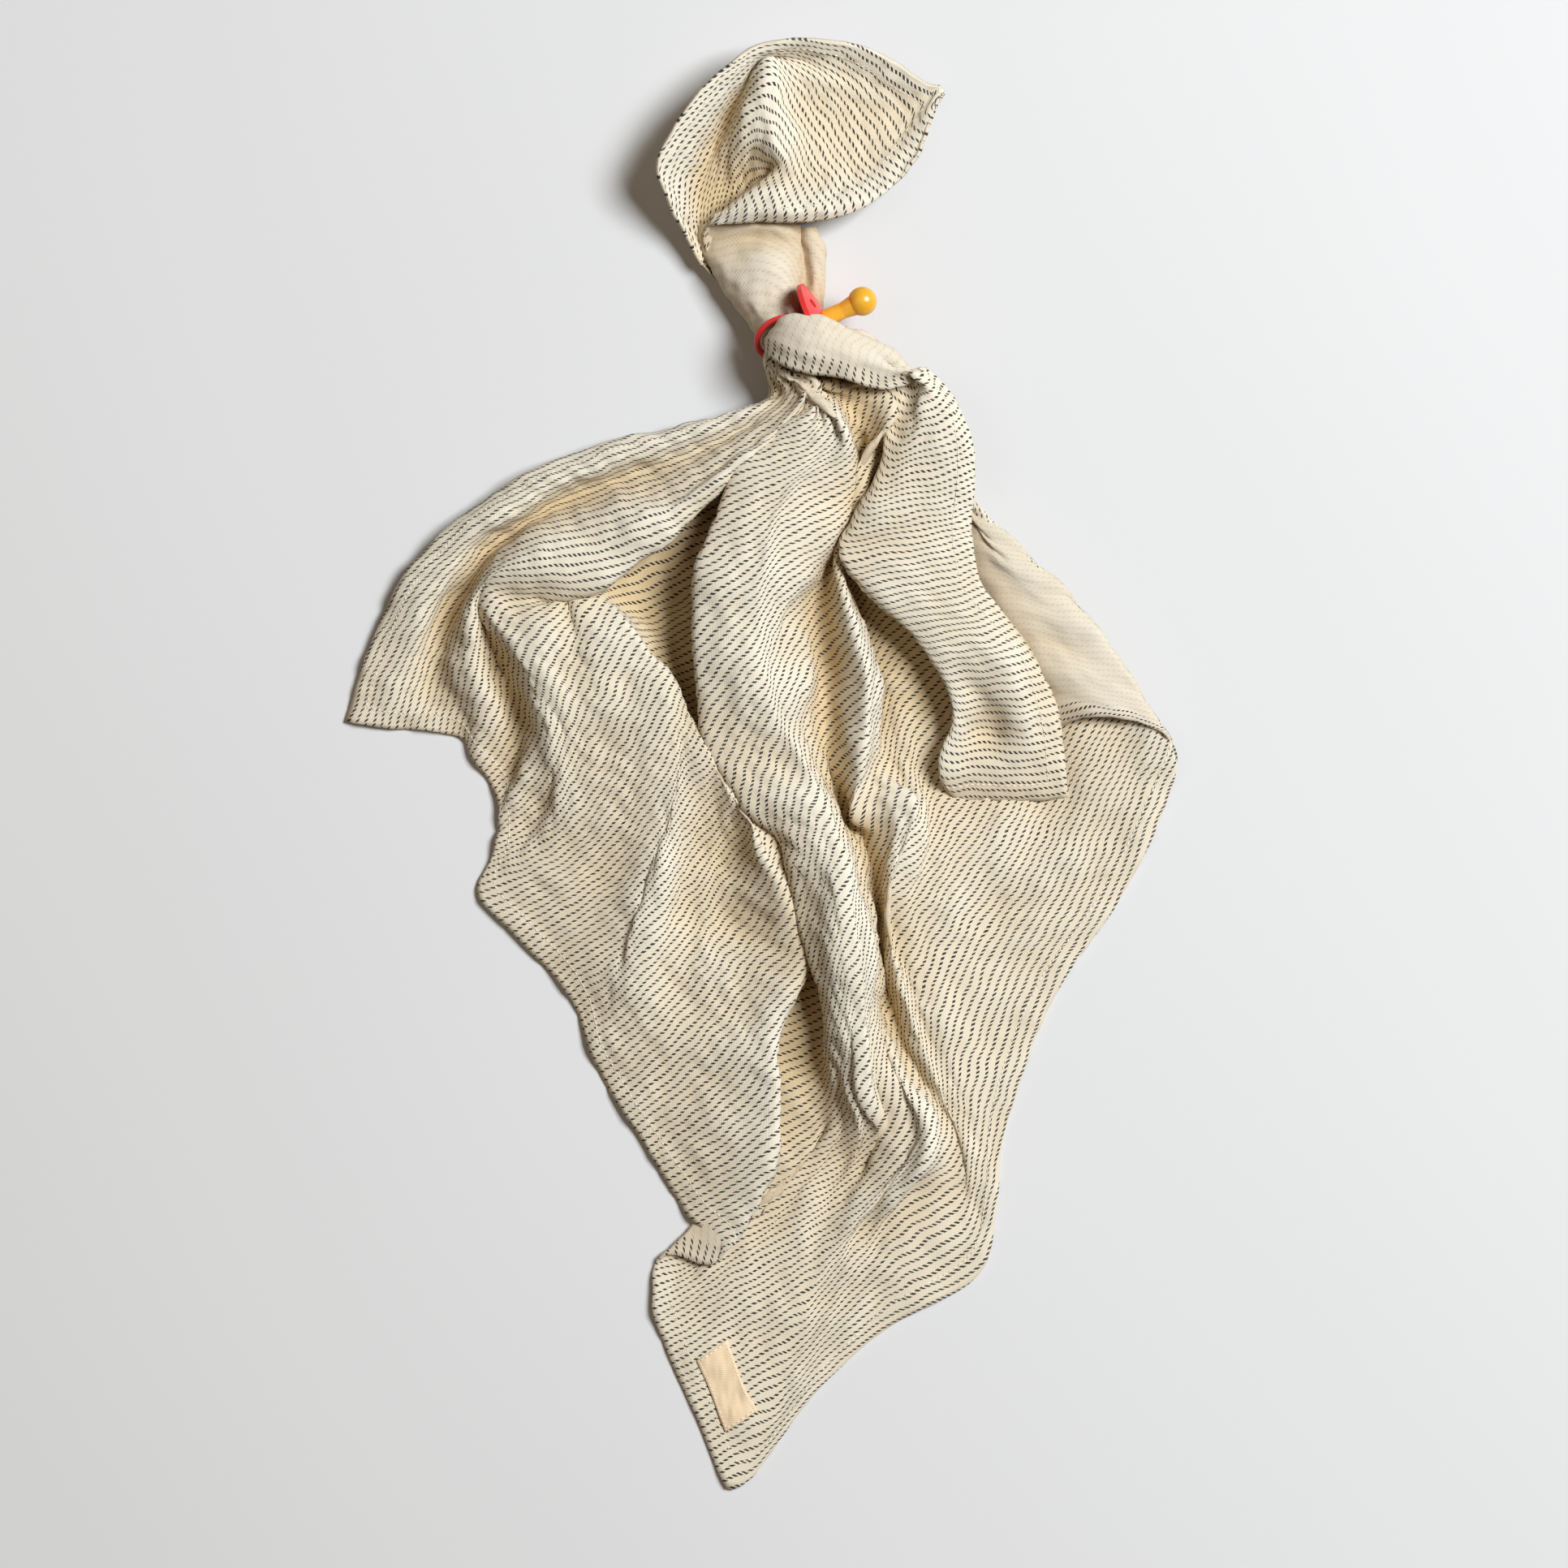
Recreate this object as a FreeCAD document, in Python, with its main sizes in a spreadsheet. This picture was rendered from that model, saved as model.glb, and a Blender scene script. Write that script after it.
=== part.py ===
"""Muslin comfort cloth with a soother: the striped cloth is gathered through the soother's ring handle.

Units are millimetres. +Z is up, +Y runs along the longest diagonal of the lying cloth towards its open
corner, and the origin is on the floor under the middle of the whole object.

The soother's own frame has its origin at the middle of the hinge bore: x along the bore, z towards the
teat's ball, y square to the ring handle. One placement carries all its pieces to where they lie.
"""

import FreeCAD, Part
import math
import os

import Sketcher

# ---------------------------------------------------------------- driving dimensions

DIMENSIONS = [
    # the lying cloth, as a plain soft mass
    ("hem_height", 5.0),  # the flat rim of the drape
    ("shoulder_height", 26.0),
    ("crest_height", 46.0),
    ("crest_x", 20.0),  # the drape is highest here, beside the ring
    ("crest_y", 184.0),
    ("foot_share", 0.80),  # outline shrunk towards the crest, where the slope starts
    ("shoulder_share", 0.55),
    ("crest_share", 0.16),
    ("neck_radius", 8.6),  # the cloth where the ring gathers it
    ("neck_aside", 2.5),  # from the ring's centre, away from the knob
    ("neck_forward", 40.0),  # from the ring's centre towards the open corner
    ("neck_back", 34.0),  # from the ring's centre into the drape
    ("neck_turn", 14.0),  # the neck's direction from +Y towards -X, degrees
    ("neck_fall", 15.5),  # and how steeply it falls towards the open corner, degrees
    ("mouth_x", 14.0),  # middle of the opened corner
    ("mouth_y", 316.0),
    ("mouth_belly_height", 15.0),
    ("mouth_rim_height", 42.0),
    ("mouth_rim_share", 0.62),
    # hem seam
    ("hem_width", 10.7),
    ("thread_width", 0.8),
    ("thread_height", 0.6),
    # sewn-on label
    ("label_length", 43.0),
    ("label_width", 19.0),
    ("label_thickness", 0.9),
    ("label_x", -11.8),
    ("label_y", -318.4),
    ("label_turn", -67.5),  # the long side's direction from +X, degrees
    ("label_seam_inset", 1.5),
    ("label_seam_width", 0.5),
    ("label_seam_height", 0.35),
    # soother: where it lies
    ("hinge_x", 25.1),
    ("hinge_y", 225.9),
    ("hinge_height", 23.4),
    ("teat_heading", 24.6),  # from +X towards +Y, degrees
    ("teat_rise", 10.4),  # above level, degrees
    ("ring_lean", 42.0),  # the ring's plane from upright, degrees
    # ring handle
    ("ring_radius", 14.5),  # to the middle of its rod
    ("ring_rod_radius", 1.6),
    # knob that holds the ring and plugs the teat
    ("knob_radius", 5.5),
    ("knob_back", 4.2),
    ("knob_front", 6.0),
    ("bore_radius", 3.2),
    ("plug_radius", 2.9),
    ("plug_length", 6.0),
    # shield
    ("shield_radius", 21.5),
    ("shield_thickness", 2.4),
    ("shield_dish_radius", 60.0),
    ("shield_back", 7.0),  # from the hinge to the back of the shield's middle
    ("flange_seat", 7.2),
    ("flange_radius", 7.0),
    ("flange_play", 0.1),
    ("shield_hole_radius", 5.0),
    ("vent_radius", 2.6),
    ("vent_offset", 13.7),
    # teat
    ("teat_neck_radius", 4.9),
    ("teat_waist_radius", 4.3),
    ("teat_waist", 19.0),
    ("teat_ball", 30.0),  # from the hinge to the ball's middle
    ("teat_ball_radius", 7.5),
    ("teat_wall", 1.1),
]

# Corners of the drape's outline, going round from beside the ring by the left flap to the label corner.
DRAPE = [
    (-8, 201), (-58, 172), (-121, 152), (-182, 102), (-214.2, 23.5), (-152, 10), (-147, -64),
    (-104, -113), (-78, -169), (-37, -238), (-58, -257), (-50, -300), (-16, -373.8), (23, -336),
    (42, -298), (82, -286), (114, -263), (129, -181), (153, -120), (207, -27), (214.2, 7),
    (188, 52), (149, 102), (109, 132), (109, 166), (80, 192), (60, 193), (24, 196),
]

# Corners of the opened corner's outline, going round from the neck's left side.
MOUTH = [
    (-14, 240), (-34, 264), (-53, 307), (-27, 352), (0, 371), (36, 373.8), (94.5, 349), (68, 301),
    (31, 278), (20, 262), (4, 248),
]

doc = FreeCAD.newDocument("comfort_cloth")
table = doc.addObject("Spreadsheet::Sheet", "dimensions")


def fill_table():
    """Writes every driving dimension and outline corner into the sheet, each under its alias."""
    rows = list(DIMENSIONS)
    for family, corners in (("drape", DRAPE), ("mouth", MOUTH)):
        for number, (east, north) in enumerate(corners, 1):
            rows.append((f"{family}_corner_{number}_east", east))
            rows.append((f"{family}_corner_{number}_north", north))
    for row, (alias, value) in enumerate(rows, 1):
        table.set(f"A{row}", alias)
        table.set(f"B{row}", str(value))
        table.setAlias(f"B{row}", alias)
    doc.recompute()


def size(alias):
    """The value of one cell."""
    return float(table.get(alias))


def bind(piece, **formulas):
    """Ties a piece's properties to formulas over the sheet's aliases."""
    for name, formula in formulas.items():
        words = formula.replace("(", " ( ").replace(")", " ) ").split()
        bound = " ".join(f"dimensions.{w}" if w[0].isalpha() else w for w in words)
        piece.setExpression(name.replace("__", "."), bound)
    return piece


def outline(label, family, corners, height, share=None, middle=None):
    """A closed sketch through the family's corners, drawn towards the middle by a share, at a height."""
    sketch = doc.addObject("Sketcher::SketchObject", label)
    count = len(corners)
    for index, (east, north) in enumerate(corners):
        following = corners[(index + 1) % count]
        start = FreeCAD.Vector(east, north, 0)
        sketch.addGeometry(Part.LineSegment(start, FreeCAD.Vector(*following, 0)), False)
    for index in range(count):
        sketch.addConstraint(Sketcher.Constraint("Coincident", index, 2, (index + 1) % count, 1))
    for index, (east, north) in enumerate(corners):
        for kind, word, value, side in (("DistanceX", "east", east, 0), ("DistanceY", "north", north, 1)):
            number = sketch.addConstraint(Sketcher.Constraint(kind, -1, 1, index, 1, value))
            cell = f"dimensions.{family}_corner_{index + 1}_{word}"
            if share:
                base = f"dimensions.{middle[side]}"
                cell = f"{base} + ({cell} - {base}) * dimensions.{share}"
            sketch.setExpression(f"Constraints[{number}]", cell)
    if height:
        bind(sketch, Placement__Base__z=height)
    return sketch


def extrusion(label, profile, height):
    """A profile raised straight up into a solid."""
    solid = doc.addObject("Part::Extrusion", label)
    solid.Base = profile
    solid.DirMode = "Custom"
    solid.Dir = FreeCAD.Vector(0, 0, 1)
    solid.Solid = True
    return bind(solid, LengthFwd=height)


def loft(label, sections):
    """A solid with flat-ruled sides through the sections."""
    solid = doc.addObject("Part::Loft", label)
    solid.Sections = sections
    solid.Solid = True
    solid.Ruled = True
    return solid


def primitive(kind, label, base=(0, 0, 0), direction=(0, 0, 1), **formulas):
    """A Part primitive, its axis turned along the direction, with its sizes bound to the sheet."""
    piece = doc.addObject(f"Part::{kind}", label)
    turn = FreeCAD.Rotation(FreeCAD.Vector(0, 0, 1), FreeCAD.Vector(*direction))
    piece.Placement = FreeCAD.Placement(FreeCAD.Vector(*base), turn)
    return bind(piece, **formulas)


def joined(label, *pieces):
    """Several solids as one."""
    solid = doc.addObject("Part::MultiFuse", label)
    solid.Shapes = list(pieces)
    return solid


def cut(label, body, tool):
    """A solid less another."""
    solid = doc.addObject("Part::Cut", label)
    solid.Base = body
    solid.Tool = tool
    return solid


# ---------------------------------------------------------------- the cloth and what is sewn to it

def heading(turn, rise):
    """The unit vector at an angle from +X towards +Y, and an angle above level, in degrees."""
    turn, rise = math.radians(turn), math.radians(rise)
    level = math.cos(rise)
    return FreeCAD.Vector(level * math.cos(turn), level * math.sin(turn), math.sin(rise))


def neck_run(place):
    """The gathered cloth: a round rod through the ring, rising into the drape."""
    middle = place.multVec(FreeCAD.Vector(0, 0, -size("ring_radius") - size("neck_aside")))
    forward = heading(90 + size("neck_turn"), -size("neck_fall"))
    start = middle - forward * size("neck_back")
    return primitive(
        "Cylinder", "neck", start, forward, Radius="neck_radius", Height="neck_back + neck_forward"
    )


def drape_slope():
    """The folds' bulk above the drape's rim, rising to a crest beside the ring."""
    crest = ("crest_x", "crest_y")
    return loft("drape_slope", [
        outline("drape_foot", "drape", DRAPE, "hem_height", "foot_share", crest),
        outline("drape_shoulder", "drape", DRAPE, "shoulder_height", "shoulder_share", crest),
        outline("drape_crest", "drape", DRAPE, "crest_height", "crest_share", crest),
    ])


def muslin_cloth(slope, place):
    """One closed soft mass: a flat-rimmed drape, the neck through the ring, and the opened corner."""
    rim = extrusion("drape_rim", outline("drape_outline", "drape", DRAPE, None), "hem_height")
    belly = extrusion("mouth_belly", outline("mouth_outline", "mouth", MOUTH, None), "mouth_belly_height")
    mouth = loft("mouth_slope", [
        outline("mouth_foot", "mouth", MOUTH, "mouth_belly_height"),
        outline("mouth_rim", "mouth", MOUTH, "mouth_rim_height", "mouth_rim_share", ("mouth_x", "mouth_y")),
    ])
    return joined("muslin_cloth", rim, slope, neck_run(place), belly, mouth)


def offset_outline(label, source, formula):
    """The source outline moved inwards."""
    moved = doc.addObject("Part::Offset2D", label)
    moved.Source = source
    moved.Fill = False
    return bind(moved, Value=formula)


def hem_thread(slope):
    """The seam that holds the folded hem: a low thread on the drape's rim, as far as the folds leave it bare."""
    source = outline("seam_outline", "drape", DRAPE, "hem_height")
    outer = extrusion("seam_outer", offset_outline("seam_outer_line", source, "0 - hem_width"), "thread_height")
    inner_line = offset_outline("seam_inner_line", source, "0 - hem_width - thread_width")
    inner = extrusion("seam_inner", inner_line, "thread_height")
    return cut("hem_thread", cut("seam_loop", outer, inner), slope)


def label_layer(name, inset, low, tall):
    """A box as large as the label less an inset all round, centred over the label's middle."""
    base = (inset - size("label_length") / 2, inset - size("label_width") / 2, low)
    return primitive(
        "Box", name, base, Length=f"label_length - 2 * {inset}", Width=f"label_width - 2 * {inset}", Height=tall
    )


def label_place():
    """Where the label's middle lies, on the drape's rim near the last corner."""
    turn = FreeCAD.Rotation(FreeCAD.Vector(0, 0, 1), size("label_turn"))
    middle = FreeCAD.Vector(size("label_x"), size("label_y"), size("hem_height"))
    return FreeCAD.Placement(middle, turn)


def woven_label():
    """A plain woven tape label."""
    return label_layer("woven_label", 0, 0, "label_thickness")


def label_stitching():
    """The seam round the label, standing just proud of it."""
    outside = size("label_seam_inset")
    inside = outside + size("label_seam_width")
    low = size("label_thickness")
    seams = [label_layer(f"seam_{at}", at, low, "label_seam_height") for at in (outside, inside)]
    return cut("label_stitching", *seams)


# ---------------------------------------------------------------- the soother

def soother_place():
    """The soother's frame: z along the teat, x along the hinge bore, which leans with the ring."""
    along = heading(size("teat_heading"), size("teat_rise"))
    aside = heading(size("teat_heading") + 90, 0)
    lean = math.radians(size("ring_lean"))
    bore = along.cross(aside) * math.cos(lean) + aside * math.sin(lean)
    turn = FreeCAD.Rotation(bore, along.cross(bore), along, "ZXY")
    hinge = FreeCAD.Vector(size("hinge_x"), size("hinge_y"), size("hinge_height"))
    return FreeCAD.Placement(hinge, turn)


def ring_handle():
    """A round ring of round rod, its centre one ring radius behind the hinge."""
    middle = (0, 0, -size("ring_radius"))
    return primitive("Torus", "ring_handle", middle, (0, 1, 0), Radius1="ring_radius", Radius2="ring_rod_radius")


def plug_knob():
    """The knob behind the shield: a button bored across for the ring, with a plug that fills the teat."""
    button = primitive(
        "Cylinder", "button", (0, 0, -size("knob_back")), Radius="knob_radius", Height="knob_back + knob_front"
    )
    plug = primitive(
        "Cylinder", "plug", (0, 0, size("knob_front")), Radius="plug_radius", Height="plug_length"
    )
    bore = primitive(
        "Cylinder", "bore", (-size("knob_radius") * 2, 0, 0), (1, 0, 0), Radius="bore_radius", Height="knob_radius * 4"
    )
    return cut("plug_knob", joined("knob_blank", button, plug), bore)


def soother_shield():
    """A round dished shield: two nested spheres trimmed to a disc, with a teat hole, a seat and vents."""
    back_apex = size("shield_back")
    middle = back_apex - size("shield_dish_radius")
    front = primitive("Sphere", "dish_front", (0, 0, middle), Radius="shield_dish_radius + shield_thickness")
    back = primitive("Sphere", "dish_back", (0, 0, middle), Radius="shield_dish_radius")
    disc = doc.addObject("Part::Common", "shield_disc")
    disc.Base = cut("dish", front, back)
    disc.Tool = primitive("Cylinder", "disc_trim", Radius="shield_radius", Height="shield_dish_radius")
    seat = primitive("Cylinder", "seat", Radius="flange_radius + flange_play", Height="flange_seat")
    hole = primitive("Cylinder", "teat_hole", Radius="shield_hole_radius", Height="shield_dish_radius")
    tools = [seat, hole]
    for side, name in ((1, "vent_upper"), (-1, "vent_lower")):
        place = (side * size("vent_offset"), 0, 0)
        tools.append(primitive("Cylinder", name, place, Radius="vent_radius", Height="shield_dish_radius"))
    return cut("soother_shield", disc, joined("shield_openings", *tools))


def teat():
    """A hollow natural-rubber teat: flange, tapering neck and round ball, open at the back for the plug."""
    flange = primitive(
        "Cylinder", "flange", (0, 0, size("knob_front")), Radius="flange_radius", Height="flange_seat - knob_front"
    )
    neck = primitive(
        "Cone", "teat_neck", (0, 0, size("knob_front")),
        Radius1="teat_neck_radius", Radius2="teat_waist_radius", Height="teat_waist - knob_front",
    )
    throat = primitive(
        "Cone", "teat_throat", (0, 0, size("teat_waist")),
        Radius1="teat_waist_radius", Radius2="teat_ball_radius - teat_wall", Height="teat_ball - teat_waist",
    )
    ball = primitive("Sphere", "ball", (0, 0, size("teat_ball")), Radius="teat_ball_radius")
    hollow = primitive(
        "Cylinder", "teat_bore", (0, 0, size("knob_front") - 1), Radius="plug_radius", Height="teat_ball - knob_front"
    )
    room = primitive("Sphere", "ball_room", (0, 0, size("teat_ball")), Radius="teat_ball_radius - teat_wall")
    return cut("teat", joined("teat_skin", flange, neck, throat, ball), joined("teat_room", hollow, room))


# ---------------------------------------------------------------- the assembly

def lay(piece, place):
    """Carries a finished piece from the frame it was drawn in to where it lies."""
    piece.Placement = place.multiply(piece.Placement)
    return piece


def check(pieces):
    """Stops before anything is written if a feature failed or a sub-part isn't a sound solid."""
    failed = [o.Name for o in doc.Objects if {"Invalid", "Error"} & set(o.State)]
    if failed:
        raise RuntimeError(f"these objects failed to recompute: {failed}")
    for piece in pieces:
        shape = piece.Shape
        if shape.isNull() or not shape.isValid() or shape.Volume <= 0:
            raise RuntimeError(f"{piece.Label} isn't a sound solid")


def main():
    fill_table()
    place = soother_place()
    slope = drape_slope()
    soother = [lay(piece, place) for piece in (ring_handle(), plug_knob(), soother_shield(), teat())]
    label = [lay(piece, label_place()) for piece in (woven_label(), label_stitching())]
    sewn = [muslin_cloth(slope, place), hem_thread(slope), *label]
    doc.recompute()
    check(soother + sewn)
    os.makedirs("parts", exist_ok=True)
    for piece in soother + sewn:
        piece.Shape.exportStep(f"parts/{piece.Label}.step")
        print(f"{piece.Label}: {piece.Shape.Volume / 1000:.2f} cm3, {len(piece.Shape.Solids)} solid(s)")
    axis = place.Rotation.multVec(FreeCAD.Vector(1, 0, 0))
    print("hinge axis", [round(c, 5) for c in axis], "at", [round(c, 3) for c in place.Base])


main()
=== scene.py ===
"""Striped muslin comfort cloth, one corner pulled through the ring handle of a soother, lying on a pale
floor.

The cloth is one 650 mm square of crinkled muslin. Every point of it is known by its place in the flat
square: u across the stripes and v along them, both from the corner that was pulled through the ring, or the
same place as an angle round that corner and a distance from it. Folds are drawn as rays that run from that
corner, each a line of points in space, and the sheet between them is then relaxed until it keeps its own
measure.
"""

import functools
import math

import bpy
import numpy as np
from bpy.props import FloatProperty, FloatVectorProperty, PointerProperty
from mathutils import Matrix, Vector


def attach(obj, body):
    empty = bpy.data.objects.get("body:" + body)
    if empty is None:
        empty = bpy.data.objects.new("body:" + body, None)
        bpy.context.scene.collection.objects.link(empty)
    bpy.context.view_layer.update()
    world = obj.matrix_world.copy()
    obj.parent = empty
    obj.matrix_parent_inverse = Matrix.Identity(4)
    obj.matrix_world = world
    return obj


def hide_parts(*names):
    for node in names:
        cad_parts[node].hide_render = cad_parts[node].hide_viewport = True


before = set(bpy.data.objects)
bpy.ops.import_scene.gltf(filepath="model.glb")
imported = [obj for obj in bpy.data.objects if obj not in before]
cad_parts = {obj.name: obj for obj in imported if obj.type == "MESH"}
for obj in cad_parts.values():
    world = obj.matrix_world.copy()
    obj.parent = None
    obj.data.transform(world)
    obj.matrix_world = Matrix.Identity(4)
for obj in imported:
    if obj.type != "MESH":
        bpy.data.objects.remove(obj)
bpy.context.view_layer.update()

bl_info = {
    "name": "Comfort cloth with soother",
    "version": (1, 0, 0),
    "blender": (4, 5, 0),
    "location": "View3D > Sidebar > Cloth",
    "description": "Builds a striped muslin comfort cloth held in the ring of a soother",
    "category": "Add Mesh",
}

MM = 0.001
SEED = 11

# the flat cloth, mm
SIDE = 650.0  # length of each side
RING_RADIUS = 285.0  # how far from the pulled corner the ring grips the cloth
TAKE_UP = 0.97  # what is left of a length once the gauze has crinkled
HEM_WIDTH = 10.7
HEM_EASE = 1.5  # half of the width over which the hem's thickness fades
SHEET_HALF = 0.42  # half of the gauze's thickness
HEM_HALF = 0.95  # half of the thickness where the hem is turned

# stripes and threads, mm
STRIPE_HALF = 0.72  # half of a stripe's width
STRIPE_SOFT = 0.12  # how far its sides blur each way
DASH_PITCH = 2.7  # length of one float and its gap along a stripe
DASH_SLANT = 1.1  # how far a float leans along the stripe for each mm across it
DASH_SHIFT = 0.37  # by what share of a pitch each stripe's floats lie off the last one's
DASH_FADE = (0.22, 0.33)  # where a float starts and ends fading, from its middle, as shares of the pitch
BACK_SHOW = 0.14  # share of the stripes' strength that pricks through on the back
BACK_TONE = 0.86  # the back is seen a little deeper in tone than the face
HEM_SHARP = 0.4  # how far the stripes on the hem's back blur at its seam
WEAVE_PITCH = 1.5  # the real threads are 0.5 mm apart, too fine to show, so the weave is drawn this coarse
WAVER = 0.4  # how far the threads waver to each side
WAVER_LENGTH = 18.0  # and over what length
TAPE_RIB = 0.0012  # the tape's twill, drawn twice as coarse as it is so that it shows, m

# crinkles and sag: each is a sum of plane waves, mm
WAVE_COUNT = 60
WAVE_SPREAD = (0.7, 1.5)  # shortest and longest wave, as shares of the length asked for
BUMP_LENGTHS = (13.0, 6.0)  # of the gauze's broad and fine crinkles
FINE_SHARE = 0.6  # height of the fine ones against the broad ones
SAG = 0.8  # height of the sheet's soft sagging between its folds
SAG_LENGTH = 42.0

# seams and label, mm
SEAM_INSET = 10.2  # from the hem's edge to its seam
SEAM_FROM_RING = 6.0  # from the ring to where the loose body's seams start
FLOWER_SEAM_END = 165.0  # how far the opened corner's seams are seen
HEM_STITCH = 3.2  # one stitch and its gap
LABEL_STITCH = 2.4
STITCH_SHARE = 0.68  # how much of that the stitch takes
STITCH_RISE = 0.80  # from the sheet's middle to a hem stitch's middle
STITCH_RINGS = ((-0.5, 0.6), (0.0, 1.0), (0.5, 0.6))  # place along the stitch, and share of its radius
STITCH_FLAT = 1.5  # how much wider than high a stitch is pressed
THREAD_RADIUS = 0.22
LABEL_LENGTH = 43.0
LABEL_WIDTH = 19.0
LABEL_GRID = (44, 20)
LABEL_FROM_CORNER = 30.0  # from its near end to the far corner's hem
LABEL_FROM_HEM = 12.2  # from its long side to the hem's edge
LABEL_HALF = 0.3  # half of the tape's thickness
LABEL_RISE = 0.95  # from the sheet's middle to the tape's middle
LABEL_INSET = 1.3  # from the tape's border to its stitches

# rows and columns of the cloth's stretches: the body while it is relaxed and as it is shown, and the others
BODY_COARSE = (221, 111)
BODY_FINE = (287, 136)
FLOWER_FINE = (81, 91)
NECK_FINE = (73, 41)

# relaxing the body
BODY_ROUNDS = 80
BODY_GRIP = 0.30  # how hard each round draws a point back to its place in the net
RING_GRIP = 0.5  # the same where the cloth comes out of the ring
RING_COLUMNS = 8  # how many columns that holds for
EASE_OFF = 0.75  # share of the grip that is gone by the last round
FLOOR_GAP = 0.6  # height of the sheet's middle where it lies on the floor, mm
PUSH_REST = 0.96  # length of a spring that only pushes, as a share of the flat cloth's
# springs: rows apart, columns apart, how hard it pulls when too long, how hard it pushes when too short
SPRINGS = (
    (1, 0, 0.4, 0.0), (0, 1, 0.4, 0.0), (1, 1, 0.15, 0.0), (1, -1, 0.15, 0.0),
    (2, 0, 0.0, 0.10), (0, 2, 0.0, 0.10), (4, 0, 0.0, 0.04), (0, 4, 0.0, 0.04),
)
LOOSE_LEAST = 0.6  # gathered cloth takes at least this share of its ray's length in the net
ANGLE_ROOM = 2.0  # room that a degree between rays is given besides their distance, mm
EDGE_WEIGHT = 6.0  # how much more a step along the hem counts than one inside
THREAD_ROUNDS = 500
FLOWER_START = 3.0  # from the pulled corner's point to the opened corner's first column, mm
NECK_START = 175.0  # from the pulled corner to the neck's first column, mm
NECK_ANGLES = (6.0, 78.0)  # first angle of the neck's rows at the pulled corner, and how far they go, degrees

# the bundle of cloth where it passes the ring, mm
RING_CENTRE = np.array([12.13, 219.96, 20.78])
TEAT_WAY = np.array([0.8943, 0.4094, 0.1805])  # from the ring's centre to the teat
HINGE_WAY = np.array([-0.4005, 0.5526, 0.7309])  # along the knob's bore
BUNDLE_RADIUS = 7.6
BUNDLE_CENTRE = RING_CENTRE - 2.5 * TEAT_WAY
# where the body's rays pass round the bundle: an angle at the pulled corner, and a turn round it, degrees
BUNDLE_TURNS = (
    (0.0, 190.0), (15.0, 250.0), (40.0, 300.0), (60.0, 340.0), (72.0, 370.0), (80.0, 410.0), (84.0, 445.0),
    (90.0, 520.0),
)

# painted shade: deep between its folds the cream cloth is given a darker, browner colour, standing in for the
# shade there and for the light it throws back and forth between them
PAINTED_SHADE_TINT = (0.84, 0.70, 0.50, 1.0)
PAINTED_SHADE_FULL_DEPTH = 15.0  # depth at which the painted shade is full, mm
PAINTED_SHADE_START = 0.25  # painted shade where the cloth is level with what lies round it
PAINTED_SHADE_CELL = 6.0  # width of a cell of the height map that the depth is measured from, mm
PAINTED_SHADE_ROUNDS = 16

# the studio, m
FLOOR_REACH = 12000.0  # from the middle of the floor to its edge, mm
FLOOR_LIGHT = "D4D2CC"
FLOOR_DARK = "CFCDC7"
CAMERA_HEIGHT = 3.0
VIEW_CENTRE = (0.0118, -0.0092)
VIEW_WIDTH = 0.8114
SENSOR = 36.0  # mm
SKY_STRENGTH = 0.12
# soft lights: name, place, side, power in W, colour
LAMPS = (
    ("window_light", (2.3, 1.15, 3.2), 1.7, 270.0, "EDF4FF"),
    ("fill_light", (-1.4, 0.4, 2.2), 1.6, 6.0, "FFFFFF"),
)
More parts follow.
